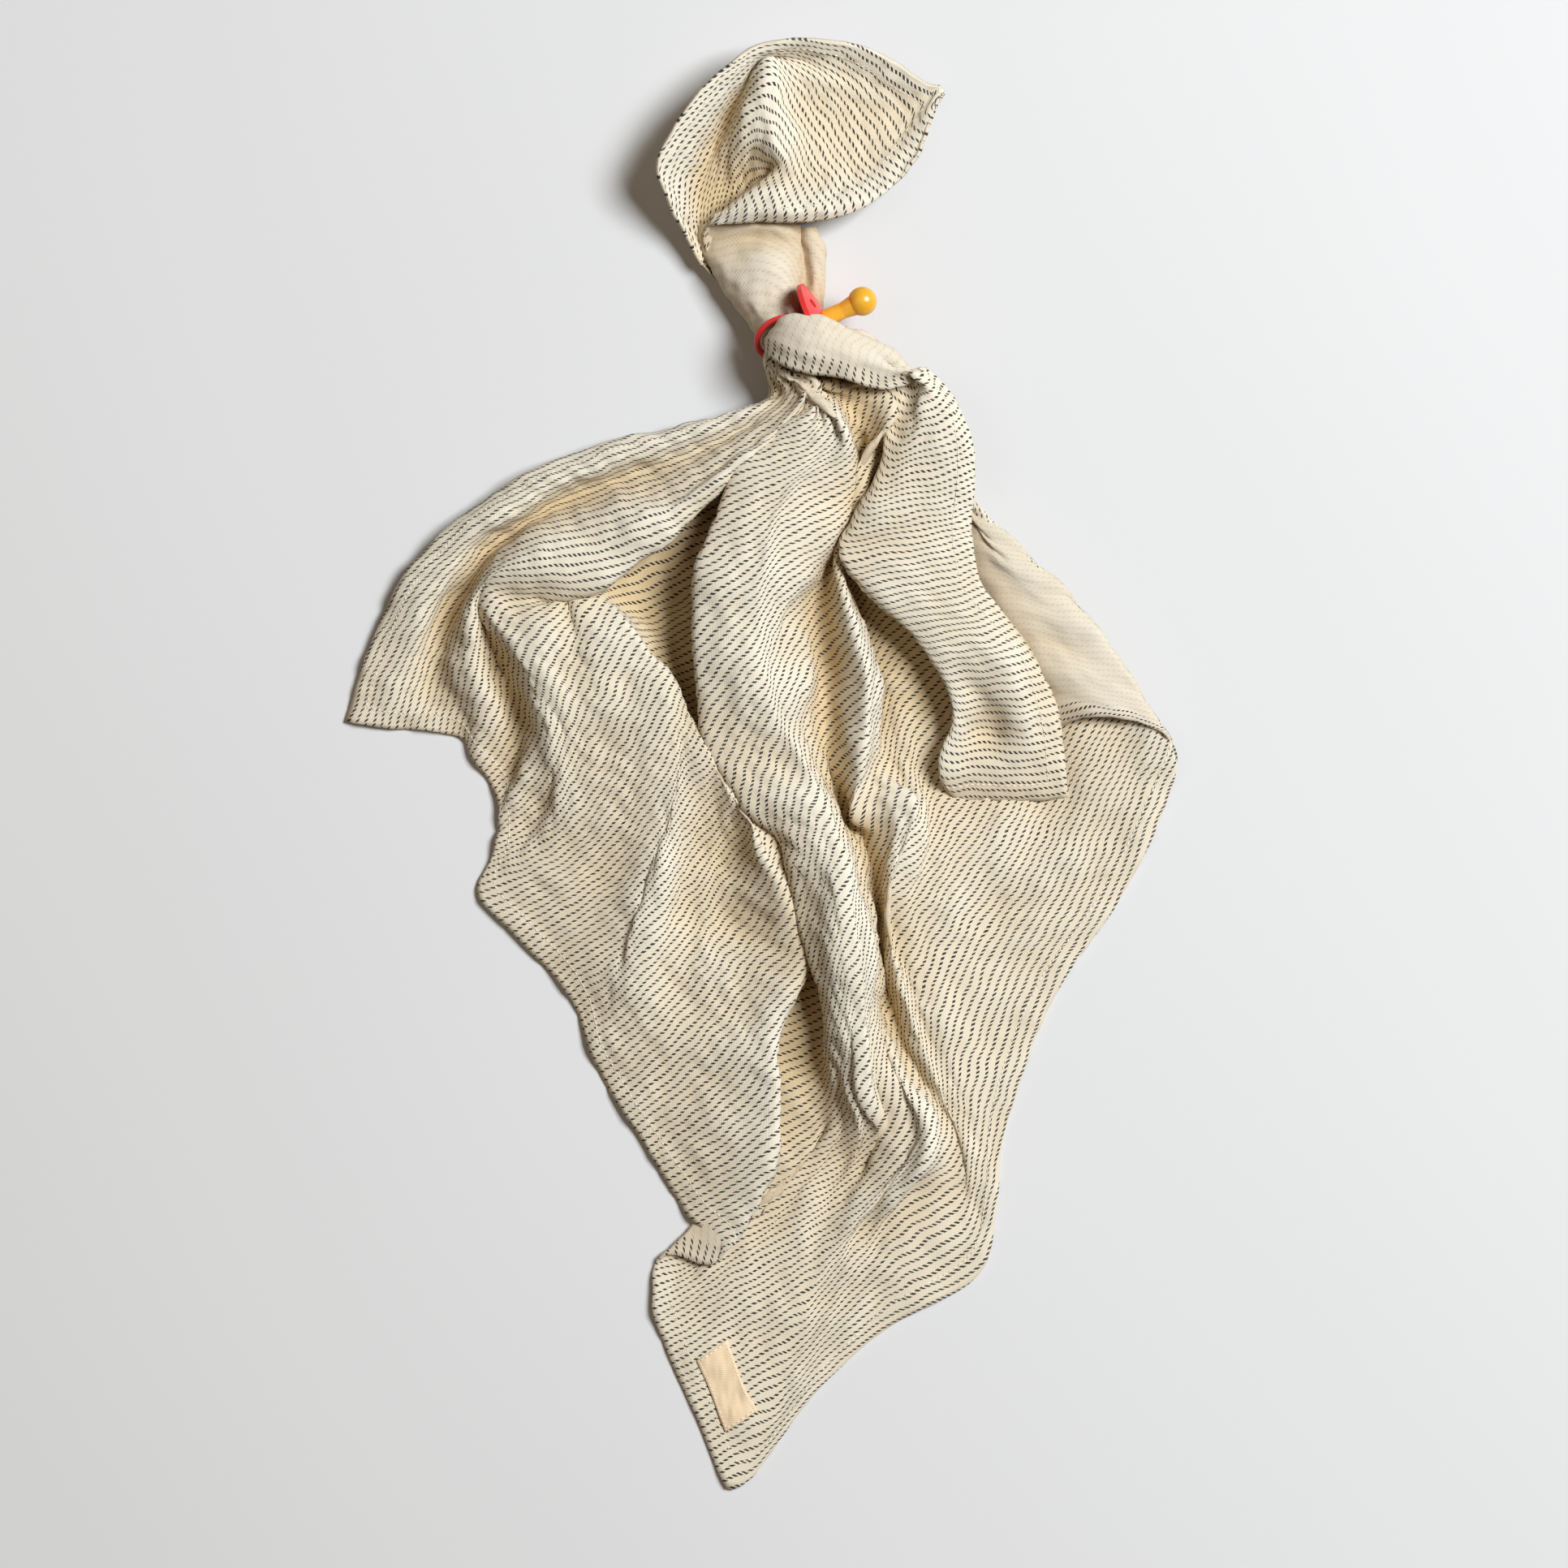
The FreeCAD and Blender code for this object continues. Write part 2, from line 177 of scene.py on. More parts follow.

# ---------------------------------------------------------------- how the folds lie

# Each ray: its angle from the first hem at the pulled corner, how many of its first points are gathered
# cloth (0 where it is one all along), and the places it lies over, in mm, given at the folds.
BODY_RAYS = (
    # the left outline and the corner flap
    (0.0, 0, ((4, 206, 20), (5, 192, 17), (-15, 181, 16), (-40, 175, 16), (-80, 166, 14), (-120, 151, 12),
        (-158, 124, 10), (-181, 100, 7), (-199, 66, 4), (-214, 23, 2))),
    (2.5, 0, ((5, 205, 24), (9, 194, 22), (-12, 180, 22), (-40, 169, 22), (-80, 156, 20), (-113, 142, 19),
        (-142, 122, 17), (-165, 96, 13), (-181, 60, 8), (-191, 20, 2))),
    (5.0, 0, ((7, 204, 28), (12, 194, 27), (-5, 176, 21), (-38, 159, 15), (-70, 149, 9), (-95, 139, 6),
        (-119, 126, 5), (-142, 106, 4), (-159, 82, 4), (-166, 56, 3), (-168, 18, 2))),
    # the long left fold, its nose, and the dark hole beside it
    (6.4, 0, ((9, 203, 30), (16, 195, 30), (-8, 170, 24), (-38, 152, 21), (-68, 140, 18), (-98, 130, 17),
        (-123, 118, 16), (-143, 102, 12), (-153, 80, 12), (-157, 50, 10), (-155, 14, 2))),
    (8.0, 0, ((11, 202, 31), (20, 195, 32), (-2, 166, 28), (-30, 145, 27), (-59, 128, 27), (-89, 116, 27),
        (-118, 108, 27), (-140, 98, 21), (-148, 84, 16), (-147, 60, 16), (-143, 34, 13), (-147, 2, 2))),
    (9.7, 0, ((12, 201, 31), (25, 196, 33), (18, 181, 30), (-4, 161, 30), (-31, 141, 29), (-62, 120, 28),
        (-95, 102, 27), (-121, 97, 25), (-139, 95, 20), (-145, 86, 14), (-141, 66, 6), (-133, 44, 2),
        (-126, 18, 2), (-130, -4, 2), (-138, -14, 2))),
    (11.5, 0, ((14, 200, 30), (29, 197, 32), (27, 185, 28), (14, 171, 25), (0, 161, 24), (-19, 143, 24),
        (-38, 122, 24), (-58, 104, 24), (-78, 91, 23), (-93, 85, 20), (-118, 86, 19), (-136, 83, 20),
        (-136, 69, 22), (-125, 54, 23), (-117, 38, 23), (-114, 20, 20), (-120, 0, 13), (-135, -30, 2))),
    # under the left fold, the pocket's floor, and over its far ridge
    (13.3, 2, ((13, 198, 24), (18, 188, 14), (0, 172, 6), (-25, 160, 5), (-52, 148, 5), (-78, 132, 6),
        (-98, 114, 8), (-104, 100, 11), (-102, 88, 17), (-108, 78, 23), (-112, 62, 26), (-106, 35, 26),
        (-105, 0, 18), (-118, -30, 6), (-139, -46, 2))),
    (15.2, 3, ((14, 197, 18), (16, 182, 6), (3, 168, 3), (-20, 152, 2), (-46, 132, 2), (-68, 113, 3),
        (-82, 99, 8), (-88, 88, 17), (-93, 76, 23), (-94, 60, 24), (-91, 32, 23), (-92, 0, 19),
        (-104, -35, 11), (-147, -64, 2))),
    (18.0, 3, ((15, 195, 14), (18, 178, 4), (8, 158, 2), (-12, 132, 2), (-35, 106, 2), (-53, 86, 3),
        (-68, 79, 7), (-74, 82, 15), (-69, 73, 23), (-71, 56, 24), (-68, 30, 24), (-69, 0, 20),
        (-80, -40, 12), (-126, -89, 2))),
    (22.0, 4, ((16, 192, 9), (20, 170, 3), (10, 145, 2), (-5, 118, 2), (-20, 94, 2), (-33, 72, 2),
        (-47, 56, 4), (-56, 52, 11), (-48, 49, 20), (-46, 35, 24), (-46, 12, 23), (-50, -15, 20),
        (-58, -45, 17), (-72, -80, 13), (-100, -119, 2))),
    (26.0, 5, ((17, 190, 7), (24, 166, 3), (15, 140, 2), (2, 112, 2), (-10, 85, 2), (-20, 60, 2),
        (-30, 38, 3), (-41, 27, 9), (-34, 22, 19), (-29, 8, 22), (-36, -6, 19), (-42, -30, 18),
        (-50, -62, 17), (-64, -98, 15), (-72, -130, 9), (-82, -161, 2))),
    (29.5, 6, ((18, 188, 6), (30, 160, 3), (22, 130, 2), (10, 100, 2), (-2, 72, 2), (-12, 45, 3),
        (-22, 20, 6), (-28, 4, 13), (-19, -8, 21), (-22, -22, 13), (-28, -42, 7), (-34, -72, 6),
        (-38, -102, 9), (-44, -135, 10), (-60, -196, 2))),
    (33.0, 6, ((19, 188, 6), (33, 160, 3), (28, 128, 2), (18, 95, 2), (8, 64, 2), (-2, 36, 3), (-12, 8, 7),
        (-14, -14, 14), (-6, -28, 21), (-8, -44, 12), (-12, -70, 6), (-12, -98, 8), (-10, -128, 14),
        (-10, -165, 15), (-18, -205, 11), (-38, -233, 2))),
    (35.2, 7, ((20, 188, 6), (34, 160, 3), (26, 125, 2), (17, 90, 2), (10, 55, 2), (4, 20, 4), (0, -10, 8),
        (0, -36, 17), (8, -56, 20), (17, -80, 19), (23, -101, 17), (15, -123, 17), (8, -146, 17),
        (10, -168, 17), (7, -200, 14), (-10, -238, 9), (-24, -254, 5))),
    # hidden under that fold, then the left hem of the label corner
    (37.0, 7, ((22, 188, 8), (36, 155, 4), (28, 118, 3), (20, 80, 3), (15, 40, 4), (11, 5, 8),
        (10, -22, 12), (16, -48, 15), (26, -72, 13), (31, -92, 8), (18, -112, 4), (0, -135, 3),
        (-12, -165, 3), (-16, -195, 3), (-24, -225, 3), (-50, -255, 3))),
    (38.7, 5, ((24, 188, 12), (38, 150, 9), (31, 112, 8), (22, 76, 8), (19, 40, 8), (21, 5, 9),
        (27, -25, 10), (30, -55, 12), (35, -80, 9), (38, -102, 5), (33, -128, 2), (25, -158, 2),
        (18, -186, 2), (2, -214, 2), (-24, -242, 2), (-56, -275, 2))),
    # the middle fold: its left edge, its body and its right edge
    (41.0, 0, ((15, 199, 24), (23, 186, 26), (9, 173, 25), (-5, 162, 26), (-17, 147, 26), (-27, 126, 27),
        (-35, 100, 27), (-37, 75, 27), (-34, 48, 26), (-33, 22, 22), (-22, -3, 16), (-8, -22, 17),
        (8, -38, 17), (16, -56, 17), (19, -78, 18), (24, -98, 19), (31, -118, 18), (34, -142, 16),
        (37, -162, 13), (39, -177, 7), (33, -192, 2), (8, -223, 2), (-19, -254, 2), (-48, -305, 1))),
    (43.0, 0, ((16, 199, 28), (27, 186, 32), (15, 172, 32), (-1, 154, 32), (-13, 125, 35), (-22, 95, 36),
        (-22, 62, 35), (-20, 28, 29), (-11, 3, 22), (3, -16, 26), (18, -34, 27), (27, -48, 28),
        (29, -66, 30), (32, -86, 31), (36, -106, 30), (40, -128, 27), (43, -150, 23), (46, -172, 18),
        (50, -187, 11), (44, -198, 3), (20, -228, 2), (-6, -268, 2), (-34, -336, 1))),
    (45.0, 0, ((17, 198, 30), (29, 184, 34), (22, 165, 34), (9, 145, 34), (-2, 115, 36), (-7, 85, 37),
        (-5, 50, 35), (0, 22, 28), (10, 2, 22), (22, -14, 27), (33, -30, 29), (39, -46, 31), (42, -70, 34),
        (46, -98, 35), (49, -126, 31), (51, -152, 26), (54, -176, 19), (62, -187, 12), (56, -199, 4),
        (38, -232, 3), (14, -288, 2), (-16, -373, 1))),
    (48.0, 0, ((19, 197, 31), (33, 184, 34), (38, 167, 34), (22, 146, 33), (11, 118, 33), (7, 85, 32),
        (8, 50, 30), (15, 22, 24), (24, 5, 20), (32, -14, 20), (41, -32, 22), (48, -55, 27),
        (54, -82, 30), (57, -110, 28), (56, -138, 21), (62, -166, 14), (73, -183, 13), (76, -200, 13),
        (67, -214, 10), (58, -227, 4), (47, -263, 2), (27, -325, 1))),
    (51.0, 0, ((20, 197, 32), (34, 184, 34), (45, 167, 33), (46, 157, 27), (43, 142, 23),
        (38, 120, 27), (27, 98, 26), (15, 79, 22), (20, 64, 19), (26, 48, 18), (24, 30, 16), (27, 12, 14),
        (34, -5, 9), (40, -20, 7), (46, -38, 10), (53, -60, 15), (59, -85, 17), (61, -110, 14),
        (64, -138, 10), (74, -164, 14), (86, -188, 18), (83, -207, 15), (75, -222, 5), (73, -253, 3),
        (68, -289, 1))),
    # the deep valley beside it, and the light ridge with its tip
    (53.5, 0, ((22, 197, 31), (36, 188, 28), (48, 170, 18), (53, 152, 9), (50, 142, 12), (46, 128, 14),
        (40, 112, 10), (32, 96, 6), (30, 75, 3), (34, 50, 3), (36, 25, 5), (38, 5, 7), (41, -12, 5),
        (48, -28, 3), (56, -48, 3), (60, -72, 3), (63, -100, 3), (70, -135, 3), (84, -162, 4),
        (98, -190, 5), (103, -209, 3), (103, -228, 2), (106, -246, 2), (112, -265, 1))),
    (56.0, 0, ((25, 197, 28), (42, 188, 20), (54, 174, 16), (53, 160, 14), (49, 146, 13), (45, 130, 13),
        (40, 115, 17), (38, 104, 20), (44, 84, 24), (51, 60, 26), (55, 38, 26), (54, 15, 24), (51, -6, 20),
        (48, -24, 15), (57, -24, 12), (68, -30, 17), (66, -52, 16), (65, -78, 14), (70, -108, 13),
        (82, -140, 11), (95, -170, 7), (108, -197, 4), (122, -226, 1))),
    (58.0, 0, ((28, 197, 26), (56, 192, 20), (67, 180, 25), (54, 163, 24), (49, 154, 22), (53, 143, 18),
        (51, 130, 11), (44, 115, 9), (42, 103, 10), (51, 80, 13), (59, 58, 13), (62, 35, 13),
        (60, 12, 12), (60, -4, 11), (68, -14, 14), (77, -20, 17), (74, -40, 18), (66, -62, 16),
        (67, -85, 11), (78, -115, 8), (93, -145, 8), (109, -172, 5), (126, -191, 1))),
    # the right panel, lying nearly flat
    (60.5, 6, ((30, 197, 24), (64, 193, 18), (71, 180, 15), (61, 160, 11), (58, 146, 8), (56, 128, 5),
        (48, 110, 3), (47, 88, 2), (52, 60, 2), (58, 35, 2), (64, 10, 4), (72, -6, 7), (82, -24, 12),
        (82, -46, 14), (76, -68, 12), (80, -92, 9), (94, -118, 8), (110, -140, 5), (139, -150, 1))),
    (64.0, 5, ((31, 197, 20), (62, 190, 12), (76, 172, 7), (73, 140, 4), (64, 112, 3), (61, 82, 2),
        (67, 50, 2), (76, 20, 2), (87, -10, 4), (97, -40, 8), (102, -66, 8), (112, -88, 5),
        (157, -111, 1))),
    (67.5, 4, ((32, 198, 17), (66, 188, 9), (84, 165, 5), (86, 130, 3), (86, 95, 2), (92, 60, 2),
        (101, 25, 2), (112, -8, 3), (124, -35, 6), (138, -56, 5), (185, -71, 1))),
    (71.0, 6, ((33, 200, 14), (64, 190, 7), (50, 174, 4), (72, 166, 3), (92, 150, 4), (104, 126, 3),
        (112, 92, 2), (122, 60, 2), (136, 28, 2), (152, 0, 3), (170, -20, 5), (206, -29, 2))),
    # folded back over itself: the plain side up
    (73.9, 7, ((33, 212, 12), (68, 194, 7), (54, 176, 5), (74, 168, 4), (92, 158, 8), (104, 144, 10),
        (112, 129, 14), (130, 117, 15), (150, 101, 15), (165, 86, 14), (178, 67, 13), (189, 51, 12),
        (199, 35, 11), (208, 20, 10), (214, 5, 7))),
    (76.0, 7, ((33, 218, 15), (70, 200, 7), (58, 180, 7), (80, 172, 5), (94, 160, 8), (82, 142, 8),
        (105, 140, 11), (114, 121, 16), (128, 105, 19), (144, 87, 19), (158, 69, 17), (172, 50, 16),
        (187, 34, 15), (203, 19, 12))),
    (78.5, 7, ((32, 223, 22), (68, 206, 11), (60, 186, 9), (84, 178, 8), (96, 162, 9), (84, 144, 10),
        (100, 140, 10), (109, 121, 13), (118, 98, 16), (130, 78, 17), (142, 60, 17), (155, 42, 16),
        (170, 26, 13))),
    # under the right flap, its rolled edge, and the flap with the dome over the ring
    (81.0, 3, ((31, 228, 30), (54, 219, 19), (69, 209, 11), (85, 190, 9), (93, 165, 9), (91, 138, 9),
        (86, 112, 8), (94, 90, 7), (109, 68, 5), (122, 48, 4), (132, 28, 3), (139, 12, 2))),
    (83.5, 0, ((11, 228, 38), (30, 229, 44), (49, 223, 37), (62, 215, 30), (73, 207, 24), (77, 198, 21),
        (71, 178, 23), (63, 155, 24), (51, 130, 23), (35, 109, 23), (50, 94, 22), (67, 77, 21),
        (83, 60, 20), (97, 42, 18), (99, 25, 18), (94, 9, 15), (92, -5, 11), (101, -12, 4))),
    (86.0, 0, ((7, 224, 38), (27, 221, 47), (44, 216, 42), (58, 210, 36), (69, 204, 30), (80, 199, 27),
        (83, 184, 28), (79, 162, 28), (72, 140, 28), (63, 116, 27), (72, 95, 26), (88, 76, 25),
        (104, 55, 23), (113, 36, 17), (118, 18, 9), (115, 2, 9), (112, -17, 3))),
    (88.0, 0, ((4, 219, 36), (24, 212, 45), (40, 209, 42), (54, 205, 38), (66, 201, 33), (78, 201, 29),
        (88, 193, 28), (95, 179, 28), (97, 162, 28), (94, 137, 27), (91, 113, 26), (96, 92, 26),
        (111, 73, 24), (127, 52, 23), (134, 30, 21), (136, 7, 14), (136, -18, 3))),
    (90.0, 0, ((2, 212, 32), (20, 201, 39), (31, 200, 38), (44, 199, 36), (54, 195, 33), (64, 193, 30),
        (74, 197, 29), (83, 203, 27), (92, 197, 26), (102, 182, 25), (109, 165, 24), (110, 144, 22),
        (110, 112, 20), (113, 93, 20), (127, 76, 18), (142, 53, 15), (153, 29, 11), (157, 0, 7),
        (159, -16, 3))),
)

# The opened corner, the same way: angle from the first hem, and the places from the corner's tip inward.
FLOWER_RAYS = (
    (0.0, ((92, 351, 7), (84, 353, 10), (68, 363, 16), (47, 371, 22), (20, 373, 27), (-5, 367, 31),
        (-27, 349, 35), (-43, 327, 36), (-53, 305, 33), (-47, 289, 25), (-39, 274, 15), (-31, 258, 10))),
    (6.0, ((92, 351, 7), (82, 350, 8), (64, 357, 12), (44, 365, 17), (20, 368, 22), (-3, 362, 26),
        (-22, 345, 28), (-37, 323, 28), (-45, 304, 25), (-41, 289, 18), (-35, 275, 9), (-28, 258, 7))),
    (14.0, ((93, 350, 7), (80, 346, 6), (60, 351, 8), (41, 358, 12), (20, 363, 16), (2, 363, 19),
        (-11, 348, 16), (-23, 326, 12), (-31, 304, 9), (-33, 288, 8), (-30, 274, 6), (-24, 258, 5))),
    (22.0, ((93, 350, 7), (76, 342, 5), (56, 345, 7), (37, 351, 12), (19, 358, 19), (4, 363, 25),
        (-6, 350, 22), (-17, 328, 16), (-23, 310, 11), (-26, 294, 8), (-26, 276, 5), (-19, 258, 4))),
    (32.0, ((94, 349, 7), (72, 337, 5), (52, 338, 6), (32, 343, 11), (17, 349, 20), (6, 355, 28),
        (-2, 341, 28), (-10, 326, 23), (-16, 311, 14), (-18, 297, 7), (-18, 276, 4), (-12, 258, 4))),
    (43.0, ((94, 348, 7), (69, 332, 5), (49, 330, 6), (30, 332, 11), (17, 336, 20), (9, 338, 27),
        (2, 329, 28), (-4, 320, 24), (-9, 311, 15), (-11, 300, 6), (-11, 276, 4), (-5, 258, 4))),
    (54.0, ((94, 347, 7), (67, 326, 6), (48, 321, 7), (31, 321, 12), (20, 323, 19), (12, 323, 24),
        (6, 319, 25), (2, 315, 21), (-2, 309, 12), (-4, 300, 5), (-4, 276, 4), (2, 258, 4))),
    (64.0, ((94, 347, 7), (67, 321, 7), (50, 313, 8), (35, 311, 12), (23, 311, 17), (16, 312, 20),
        (11, 311, 20), (7, 308, 14), (3, 303, 8), (1, 297, 6), (1, 276, 5), (6, 258, 5))),
    (73.0, ((93, 346, 7), (69, 316, 9), (53, 305, 11), (38, 301, 15), (25, 300, 18), (15, 301, 19),
        (6, 302, 17), (-2, 300, 14), (-10, 295, 12), (-14, 290, 10), (-13, 276, 7), (-9, 258, 6))),
    (80.0, ((93, 346, 7), (72, 311, 11), (56, 299, 15), (39, 293, 20), (23, 291, 24), (10, 292, 25),
        (-2, 293, 24), (-12, 291, 21), (-19, 288, 17), (-22, 284, 14), (-21, 275, 10), (-17, 258, 8))),
    (85.5, ((92, 345, 7), (75, 309, 12), (59, 295, 18), (41, 287, 23), (24, 284, 27), (9, 284, 28),
        (-4, 285, 27), (-15, 285, 24), (-23, 284, 19), (-26, 281, 15), (-26, 273, 11), (-22, 258, 9))),
    (90.0, ((91, 344, 7), (78, 311, 13), (62, 294, 17), (43, 284, 20), (26, 280, 22), (9, 280, 23),
        (-5, 280, 22), (-18, 279, 20), (-27, 278, 16), (-29, 276, 13), (-30, 271, 11), (-26, 258, 9))),
)

# The neck from under the lip to the ring: each line's turn round the bundle, in degrees, and its places.
NECK_LINES = (
    (182, ((-32, 277, 7), (-31, 265, 9), (-23, 251, 10), (-13, 236, 12), (-4, 224, 16))),
    (150, ((-27, 280, 15), (-25, 272, 13), (-22, 263, 17), (-14, 250, 19), (-5, 236, 22), (3, 226, 27))),
    (110, ((-10, 284, 17), (-9, 277, 20), (-7, 271, 15), (-4, 262, 20), (1, 250, 22), (6, 238, 23),
        (9, 229, 28))),
    (65, ((6, 284, 17), (8, 277, 19), (9, 270, 15), (11, 262, 19), (14, 250, 19), (16, 238, 19),
        (15, 228, 25))),
    (30, ((17, 280, 13), (18, 272, 12), (19, 262, 13), (20, 250, 12), (20, 238, 11), (19, 227, 17))),
    (5, ((20, 278, 8), (22, 264, 8), (23, 250, 7), (22, 237, 6), (21, 224, 11))),
    (-15, ((24, 278, 11), (27, 264, 11), (28, 250, 9), (27, 235, 7), (24, 221, 9))),
    (-45, ((27, 278, 8), (31, 264, 7), (32, 249, 5), (31, 233, 4), (26, 219, 6))),
    (-75, ((26, 274, 1), (30, 261, 1), (30, 247, 1), (28, 230, 2), (21, 218, 7))),
    (-110, ((1, 274, 1), (5, 261, 1), (8, 247, 1), (12, 230, 3), (11, 220, 9))),
    (-150, ((-24, 274, 1), (-20, 262, 1), (-14, 249, 2), (-5, 234, 6), (1, 222, 12))),
)


# ---------------------------------------------------------------- curves and grids


def through(knots, values, places):
    """Smooth curve through values at knots, read at places: cubic Hermite pieces, each knot's slope the
    mean of the slopes beside it weighted by the other side's length."""
    step = np.diff(knots)[:, None]
    slope = np.diff(values, axis=0) / step
    inner = (slope[1:] * step[:-1] + slope[:-1] * step[1:]) / (step[1:] + step[:-1])
    tangent = np.concatenate([slope[:1], inner, slope[-1:]])
    piece = np.clip(np.searchsorted(knots, places, side="right") - 1, 0, len(knots) - 2)
    span = step[piece]
    t = (places - knots[piece])[:, None] / span
    a, b = values[piece], values[piece + 1]
    p, q = tangent[piece] * span, tangent[piece + 1] * span
    return a * (1 + 2 * t) * (1 - t) ** 2 + p * t * (1 - t) ** 2 + b * t**2 * (3 - 2 * t) + q * t**2 * (t - 1)


def path_length(points):
    """Distance along a line of points, from 0 at its first."""
    return np.concatenate([[0.0], np.cumsum(np.linalg.norm(np.diff(points, axis=0), axis=1))])


def reach(angle):
    """Distance from the pulled corner to the cloth's edge in the direction of angle, in degrees."""
    turn = np.radians(angle)
    return SIDE / np.maximum(np.cos(turn), np.sin(turn))


def flat_place(angle, distance):
    """(u, v) on the flat cloth of a place at angle, in degrees, and distance from the pulled corner."""
    turn = np.radians(angle)
    return np.stack([distance * np.sin(turn), distance * np.cos(turn)], axis=-1)


def resample(grid, rows, columns):
    """The same grid of points with other numbers of rows and columns, read off smooth curves both ways."""
    n, m, k = grid.shape
    tall = through(np.arange(n, dtype=float), grid.reshape(n, m * k), np.linspace(0, n - 1, rows))
    tall = tall.reshape(rows, m, k).transpose(1, 0, 2).reshape(m, rows * k)
    wide = through(np.arange(m, dtype=float), tall, np.linspace(0, m - 1, columns))
    return wide.reshape(columns, rows, k).transpose(1, 0, 2)


def normals(grid):
    """Unit normals of a grid of points: the cross product of its second direction and its first."""
    across = np.gradient(grid, axis=0)
    along = np.gradient(grid, axis=1)
    n = np.cross(along, across)
    return n / np.maximum(np.linalg.norm(n, axis=-1, keepdims=True), 1e-9)


# ---------------------------------------------------------------- relaxing the sheet


def colour_groups(shape, di, dj):
    """Slices of the pairs (i, j) to (i + di, j + dj), in groups in which no point is in two pairs."""
    n, m = shape
    groups = []
    if di:
        for start in range(2 * di):
            first = (slice(start, n - di, 2 * di), slice(max(0, -dj), m - max(0, dj)))
            second = (slice(start + di, n, 2 * di), slice(max(0, dj), m + min(0, dj)))
            groups.append((first, second))
    else:
        for start in range(2 * dj):
            first = (slice(None), slice(start, m - dj, 2 * dj))
            second = (slice(None), slice(start + dj, m, 2 * dj))
            groups.append((first, second))
    return groups


def relax(points, flat, target, grip, rounds, floor):
    """Moves a grid of points until neighbours are as far apart as on the flat cloth, while each is drawn
    back to its target by its grip. Threads and diagonals only pull. Points two and four apart only push,
    and so stand for the cloth's stiffness. No point goes under the floor."""
    shape = points.shape[:2]
    springs = []
    for di, dj, pull, push in SPRINGS:
        for first, second in colour_groups(shape, di, dj):
            if points[first].size and points[first].shape == points[second].shape:
                rest = np.linalg.norm(flat[second] - flat[first], axis=-1, keepdims=True)
                if push:
                    rest = rest * PUSH_REST
                springs.append((first, second, rest, pull, push))
    for turn in range(rounds):
        ease = grip * (1.0 - EASE_OFF * turn / rounds)
        points += ease * (target - points)
        for first, second, rest, pull, push in springs:
            gap = points[second] - points[first]
            size = np.maximum(np.linalg.norm(gap, axis=-1, keepdims=True), 1e-6)
            wrong = (size - rest) / size
            move = gap * wrong * (0.5 * np.where(wrong > 0, pull, push))
            points[first] += move
            points[second] -= move
        np.maximum(points[..., 2], floor, out=points[..., 2])
    return points


def thread_places(points, flat):
    """The flat places of a relaxed grid, remade to its own measure: the places whose steps from point to
    point are nearest, by least squares, to the flat steps scaled to the length that each has in space.
    Steps along an edge count most, so that threads stay parallel to it. Solved by conjugate gradients."""
    steps = []
    for di, dj in ((1, 0), (0, 1), (1, 1), (1, -1)):
        first = (slice(0, points.shape[0] - di), slice(max(0, -dj), points.shape[1] - max(0, dj)))
        second = (slice(di, points.shape[0]), slice(max(0, dj), points.shape[1] + min(0, dj)))
        flat_step = flat[second] - flat[first]
        space = np.linalg.norm(points[second] - points[first], axis=-1, keepdims=True) / TAKE_UP
        want = flat_step * space / np.maximum(np.linalg.norm(flat_step, axis=-1, keepdims=True), 1e-6)
        weight = np.ones(want.shape[:2] + (1,))
        if (di, dj) == (1, 0):
            weight[:, -1] = EDGE_WEIGHT
        if (di, dj) == (0, 1):
            weight[0] = weight[-1] = EDGE_WEIGHT
        steps.append((first, second, want, weight))

    def spread(field):
        """The weighted sum, at every point, of the field's steps to its neighbours."""
        total = np.zeros_like(field)
        for first, second, _, weight in steps:
            pull = (field[second] - field[first]) * weight
            total[second] += pull
            total[first] -= pull
        return total

    wanted = np.zeros_like(flat)
    for first, second, want, weight in steps:
        wanted[second] += want * weight
        wanted[first] -= want * weight
    answer = flat.copy()
    rest = wanted - spread(answer)
    way = rest.copy()
    size = np.sum(rest * rest, axis=(0, 1))
    for _ in range(THREAD_ROUNDS):
        across = spread(way)
        share = size / np.maximum(np.sum(way * across, axis=(0, 1)), 1e-9)
        answer += way * share
        rest -= across * share
        fresh = np.sum(rest * rest, axis=(0, 1))
        way = rest + way * (fresh / np.maximum(size, 1e-9))
        size = fresh
    return answer + (flat[0, 0] - answer[0, 0])


# ---------------------------------------------------------------- the cloth's three stretches


def body_grid(rows, columns):
    """Grid of the loose cloth below the ring, rows by angle and columns from the ring to the edge, as
    points and as flat places. Each ray starts on the bundle's rim in the ring. From its first loose point
    on it is laid at its true length, measured back from the edge; the gathered part before that takes what
    is left."""
    angles = np.array([ray[0] for ray in BODY_RAYS])
    share = np.linspace(0.0, 1.0, columns)
    lines = []
    for angle, loose, places in BODY_RAYS:
        points = np.array((bundle_point(angle), *places), dtype=float)
        far = reach(angle)
        path = path_length(points)
        known = RING_RADIUS + (far - RING_RADIUS) * path / path[-1]
        if loose:
            first = max(RING_RADIUS + LOOSE_LEAST * path[loose], far - (path[-1] - path[loose]) / TAKE_UP)
            before = RING_RADIUS + (first - RING_RADIUS) * path / path[loose]
            after = first + (far - first) * (path - path[loose]) / (path[-1] - path[loose])
            known = np.where(path < path[loose], before, after)
        lines.append(through(known, points, RING_RADIUS + (far - RING_RADIUS) * share))
    lines = np.array(lines)
    fine = even_angles(angles, lines, rows)
    grid = through(angles, lines.reshape(len(angles), -1), fine).reshape(rows, columns, 3)
    distance = RING_RADIUS + (reach(fine)[:, None] - RING_RADIUS) * share[None, :]
    return grid, flat_place(fine[:, None], distance)


